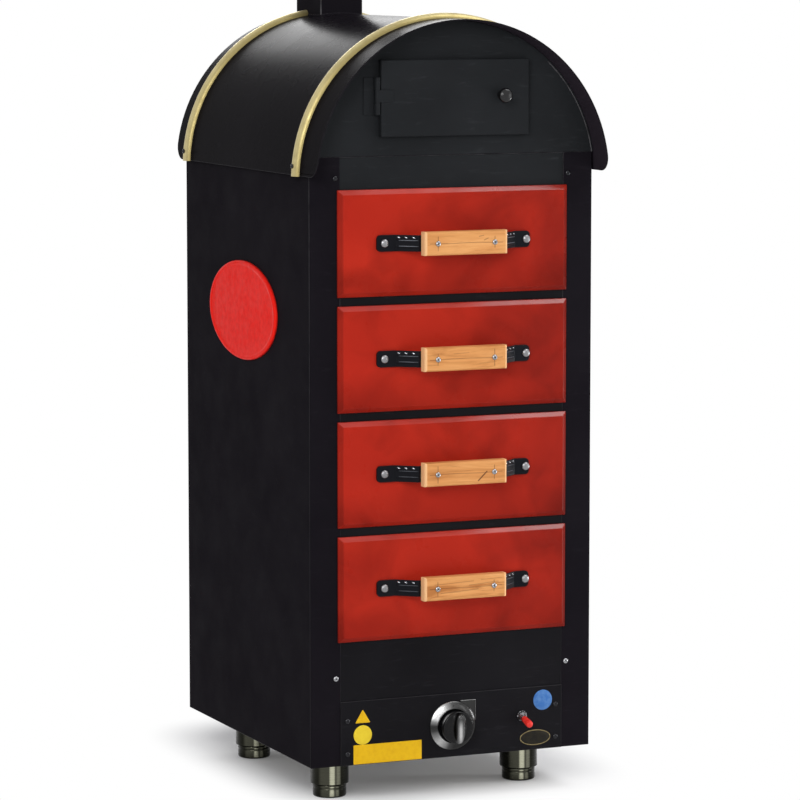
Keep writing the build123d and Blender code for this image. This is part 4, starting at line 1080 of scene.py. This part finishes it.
def switch():
    """Toggle switch: threaded bushing, hexagonal nut, and a lever with its red sleeve."""
    centre = Vector((0.1125, -0.2430, 0.118))
    repaint("switch_body", SCREW)
    shape = bmesh.new()
    hex_nut(shape, centre + Vector((0, -0.05 * MM, 0)), (0, -1, 0), 8 * MM, 3.05 * MM)
    place = facing(centre, (0, -1, 0))
    thread = []
    for turn in range(6):
        base = (3.05 + turn * 0.48) * MM
        thread += [(5.35 * MM, base), (5.62 * MM, base + 0.24 * MM)]
    rings = [(5.3 * MM, 0.2 * MM)] + thread + [(5.35 * MM, 5.95 * MM), (4.45 * MM, 6.02 * MM),
                                               (4.4 * MM, 0.2 * MM), (5.3 * MM, 0.2 * MM)]
    turned = [[place @ Vector((radius * math.cos(2 * math.pi * k / 40),
                               radius * math.sin(2 * math.pi * k / 40), height))
               for k in range(40)] for radius, height in rings]
    add_rings(shape, turned, cap=False)
    bmesh.ops.remove_doubles(shape, verts=shape.verts, dist=1e-7)
    piece("switch_nut", to_mesh("switch_nut", shape, False), "cabinet", "screw", SCREW)
    tilt = math.radians(15)
    along = Vector((0, -math.cos(tilt), -math.sin(tilt)))
    pivot = Vector((0.1125, FRONT_Y + 0.5 * MM, 0.118))
    place = facing(pivot, along)
    stem = bmesh.new()
    lathe(stem, place, [(1e-5, -3 * MM), (2.1 * MM, -2.1 * MM), (3 * MM, 0), (2.1 * MM, 2.1 * MM),
                        (1.75 * MM, 3.4 * MM), (1.75 * MM, 14 * MM), (1e-5, 14 * MM)], 32)
    sleeve = lathe(stem, place, [(1.8 * MM, 11.5 * MM), (3.6 * MM, 11.5 * MM),
                                 (4.5 * MM, 11.9 * MM), (4.8 * MM, 14 * MM),
                                 (5.2 * MM, 26 * MM), (5.4 * MM, 30 * MM),
                                 (5.1 * MM, 32.4 * MM), (4.2 * MM, 34.2 * MM),
                                 (2.4 * MM, 35.3 * MM), (1e-5, 35.5 * MM)], 40)
    for face in sleeve:
        face.material_index = 1
    piece("switch_toggle", to_mesh("switch_toggle", stem), "switch_lever", "lever_red", SCREW,
          LEVER, replaces=["switch_lever"])


def plate(name, outline, material, thick=0.35 * MM, raise_rim=0.0):
    """Thin label on the control panel from an (x, z) outline, with a softened edge."""
    shape = bmesh.new()
    middle = Vector((sum(x for x, z in outline) / len(outline),
                     sum(z for x, z in outline) / len(outline)))
    rings = []
    for share, level in ((1.0, 0.0), (1.0, 0.75), (0.985, 1.0), (0.6, 1.0 + raise_rim),
                         (0.25, 1.0 + 1.6 * raise_rim)):
        rings.append([(middle.x + (x - middle.x) * share, PANEL_Y - thick * level,
                       middle.y + (z - middle.y) * share) for x, z in outline])
    add_rings(shape, rings)
    return piece(name, to_mesh(name, shape), "cabinet", "badge", material)


def corner_round(points, radius, steps=5):
    """Outline with rounded corners."""
    out = []
    for index, point in enumerate(points):
        here = Vector(point)
        before, after = Vector(points[index - 1]), Vector(points[(index + 1) % len(points)])
        start = here + (before - here).normalized() * radius
        end = here + (after - here).normalized() * radius
        for step in range(steps + 1):
            t = step / steps
            out.append(tuple(start * (1 - t) ** 2 + here * 2 * t * (1 - t) + end * t * t))
    return out


def oval(x, z, half_x, half_z, count=72):
    turn = [2 * math.pi * k / count for k in range(count)]
    return [(x + half_x * math.cos(a), z + half_z * math.sin(a)) for a in turn]


def labels():
    """Plain films, discs and a ringed oval on the control panel."""
    triangle = corner_round([(-156 * MM, 127 * MM), (-132 * MM, 127 * MM),
                             (-144 * MM, 147 * MM)], 1.6 * MM)
    plate("label_triangle", triangle, YELLOW)
    plate("label_disc", oval(-144 * MM, 109 * MM, 14.5 * MM, 14.5 * MM), PALE_YELLOW)
    strip = corner_round([(-158.7 * MM, 65.8 * MM), (-50 * MM, 65.8 * MM),
                          (-50 * MM, 94.5 * MM), (-158.7 * MM, 94.5 * MM)], 0.8 * MM)
    plate("label_strip", strip, YELLOW)
    plate("label_blue", oval(147.0 * MM, 139.2 * MM, 15.3 * MM, 15.3 * MM), BLUE, 0.5 * MM, 1.2)
    plate("label_oval", oval(134.9 * MM, 83.2 * MM, 23.6 * MM, 10.4 * MM), OLIVE, 0.5 * MM, 0.4)
    oval_ring()


def oval_ring():
    """Half-round ring round the dark oval."""
    shape = bmesh.new()
    rings = []
    for step in range(96):
        a = 2 * math.pi * step / 96
        out = Vector((math.cos(a) / 24.4, 0, math.sin(a) / 11.1)).normalized()
        centre = Vector((134.9 * MM + 24.4 * MM * math.cos(a), PANEL_Y,
                         83.2 * MM + 11.1 * MM * math.sin(a)))
        rings.append([centre + out * 0.8 * MM * math.cos(t) - Vector((0, 0.8 * MM, 0)) *
                      math.sin(t) for t in (math.pi * k / 8 for k in range(9))])
    add_rings(shape, rings + rings[:1], cap=False)
    bmesh.ops.remove_doubles(shape, verts=shape.verts, dist=1e-7)
    piece("label_oval_ring", to_mesh("label_oval_ring", shape), "cabinet", "gold_trim", TAN)


# ---- Legs, gas parts and chamber ----

def feet():
    """Turned feet with a chamfer, a grip groove and a rounded pad."""
    # The legs' and feet's steel carries a painted highlight band down the front.
    soften("leg_tubes", 0.8 * MM, "stainless", STAINLESS)
    for number in range(1, 5):
        low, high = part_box(f"foot_{number}")
        x, y = (low.x + high.x) / 2, (low.y + high.y) / 2
        place = Matrix.Translation((x, y, 0))
        profile = [(1e-5, 0), (22.0 * MM, 0), (23.8 * MM, 0.7 * MM), (24.8 * MM, 1.9 * MM),
                   (25 * MM, 3.2 * MM), (25 * MM, 12.6 * MM), (24.2 * MM, 13.2 * MM),
                   (24.2 * MM, 14.4 * MM), (25 * MM, 15 * MM), (25 * MM, 18.4 * MM),
                   (23.6 * MM, 20 * MM), (6 * MM, 20 * MM)]
        for turn in range(17):
            base = (20.6 + turn * 2) * MM
            profile += [(5.55 * MM, base), (6.0 * MM, base + 1 * MM)]
        profile += [(4.8 * MM, high.z), (1e-5, high.z)]
        shape = bmesh.new()
        lathe(shape, place, profile, 72)
        made = piece(f"foot_turned_{number}", to_mesh(f"foot_turned_{number}", shape),
                     f"foot_{number}", "stainless", STAINLESS, replaces=[f"foot_{number}"])
        even_normals(made)


def inlet():
    """Rear gas inlet: the CAD cylinder with softened edges."""
    soften("gas_line", 0.4 * MM, "gas_fitting", GAS)


def chamber():
    """Everything inside the case keeps its CAD form and gets its finish."""
    for node in ("chamber_liner", "chamber_ceiling", "drawer_runners", "baffle_plate",
                 "flue_collar"):
        repaint(node, STEEL)
    repaint("insulation", WOOL)
    repaint("burner", IRON)
    repaint("gas_tap", GAS)
    repaint("tap_spindle", GAS)
    repaint("spark_igniter", SPARK)


# ---- Studio ----

def showing_rays(tree):
    """One for the rays that see the white background: camera, glossy and transmission rays."""
    rays = tree.nodes.new("ShaderNodeLightPath")
    total = rays.outputs["Is Camera Ray"]
    for kind in ("Is Glossy Ray", "Is Transmission Ray"):
        either = tree.nodes.new("ShaderNodeMath")
        either.operation = "MAXIMUM"
        tree.links.new(total, either.inputs[0])
        tree.links.new(rays.outputs[kind], either.inputs[1])
        total = either.outputs[0]
    return total


def floor_paint():
    """White paint that the lamps shade near the oven, and that shows even white further out."""
    ground = Finish("studio_floor", Roughness=0.9, Specular_IOR_Level=0.0)
    split = ground.add("ShaderNodeSeparateXYZ")
    ground.join(ground.place, split.inputs[0])
    total = 0.0
    for axis, centre, half in (("X", 0.040, 0.245), ("Y", 0.111, 0.306)):
        share = ground.math("DIVIDE", ground.math("SUBTRACT", split.outputs[axis], centre), half)
        total = ground.math("ADD", ground.math("POWER", ground.math("ABSOLUTE", share), 4.0),
                            total)
    reach = ground.math("POWER", total, 0.25)
    fade = ground.span(reach, 0.05, 1.0, 0.812, 1.315, "SMOOTHSTEP")
    seen = ground.math("MULTIPLY", fade, showing_rays(ground.tree))
    ground.colour(ground.mixed(seen, (0.88, 0.88, 0.89), (0.0, 0.0, 0.0)))
    ground.shader.inputs["Emission Color"].default_value = (1, 1, 1, 1)
    ground.join(seen, ground.shader.inputs["Emission Strength"])
    return ground.material


def floor():
    """Pale round floor that keeps the oven's shadow."""
    shape = bmesh.new()
    rings = [[(radius * math.cos(2 * math.pi * k / 96), radius * math.sin(2 * math.pi * k / 96),
               -0.0002) for k in range(96)] for radius in (0.01, 0.4, 0.8, 1.4, 2.4, 4.0, 9.0)]
    add_rings(shape, rings, cap=False)
    shape.verts.ensure_lookup_table()
    shape.faces.new(shape.verts[:96])
    mesh = to_mesh("studio_floor", shape)
    mesh.materials.append(floor_paint())
    ground = bpy.data.objects.new("studio_floor", mesh)
    bpy.context.scene.collection.objects.link(ground)


def world():
    """White behind the object, a dimmer even studio for light and reflections."""
    scene = bpy.context.scene
    scene.world = bpy.data.worlds.new("studio")
    scene.world.use_nodes = True
    tree = scene.world.node_tree
    background = tree.nodes["Background"]
    mix = tree.nodes.new("ShaderNodeMix")
    mix.data_type = "RGBA"
    mix.inputs[6].default_value = (0.32, 0.32, 0.33, 1)
    mix.inputs[7].default_value = (1, 1, 1, 1)
    tree.links.new(showing_rays(tree), mix.inputs[0])
    tree.links.new(mix.outputs[2], background.inputs["Color"])
    background.inputs["Strength"].default_value = 1.0


def softbox(name, position, target, size, power):
    """Rectangular lamp aimed at a point."""
    data = bpy.data.lights.new(name, "AREA")
    data.shape = "RECTANGLE"
    data.size, data.size_y = size
    data.energy = power
    lamp = bpy.data.objects.new(name, data)
    lamp.location = position
    aim = Vector(target) - Vector(position)
    lamp.rotation_euler = aim.to_track_quat("-Z", "Y").to_euler()
    bpy.context.scene.collection.objects.link(lamp)


def studio():
    """Floor, world, lamps and the camera at the photograph's angle."""
    floor()
    world()
    softbox("key_left", (-2.6, -3.2, 2.3), (0, 0, 0.6), (1.6, 1.8), 80)
    softbox("front_soft", (-0.45, -2.9, 1.45), (0, -0.25, 0.3), (0.6, 0.6), 7)
    softbox("behind_hood", (0.63, 2.75, 2.18), (0, 0, 1.1), (1.4, 1.1), 30)
    softbox("overhead", (1.5, -1.0, 3.3), (0, 0, 0.6), (1.8, 1.8), 44)
    softbox("strip_right", (1.9, -2.3, 0.75), (0, -0.25, 0.4), (0.25, 1.1), 4)
    softbox("low_right", (1.565, -0.61, 0.28), (0, -0.28, 0.112), (0.25, 0.5), 9)
    data = bpy.data.cameras.new("camera")
    data.lens, data.sensor_width = 176.84, 36
    camera = bpy.data.objects.new("camera", data)
    yaw, pitch = 0.4069, 0.1152
    camera.location = (-2.3336, -5.4616, 1.2576)
    forward = Vector((math.sin(yaw) * math.cos(pitch), math.cos(yaw) * math.cos(pitch),
                      -math.sin(pitch)))
    camera.rotation_euler = forward.to_track_quat("-Z", "Y").to_euler()
    bpy.context.scene.collection.objects.link(camera)
    bpy.context.scene.camera = camera
    bpy.context.scene.view_settings.view_transform = "Standard"


studio()
case()
hood()
gable_beads()
flue_bead()
badge()
case_screws()
for drawer_number in range(1, 5):
    drawer(drawer_number)
hatch()
knob()
bezel()
switch()
labels()
feet()
inlet()
chamber()
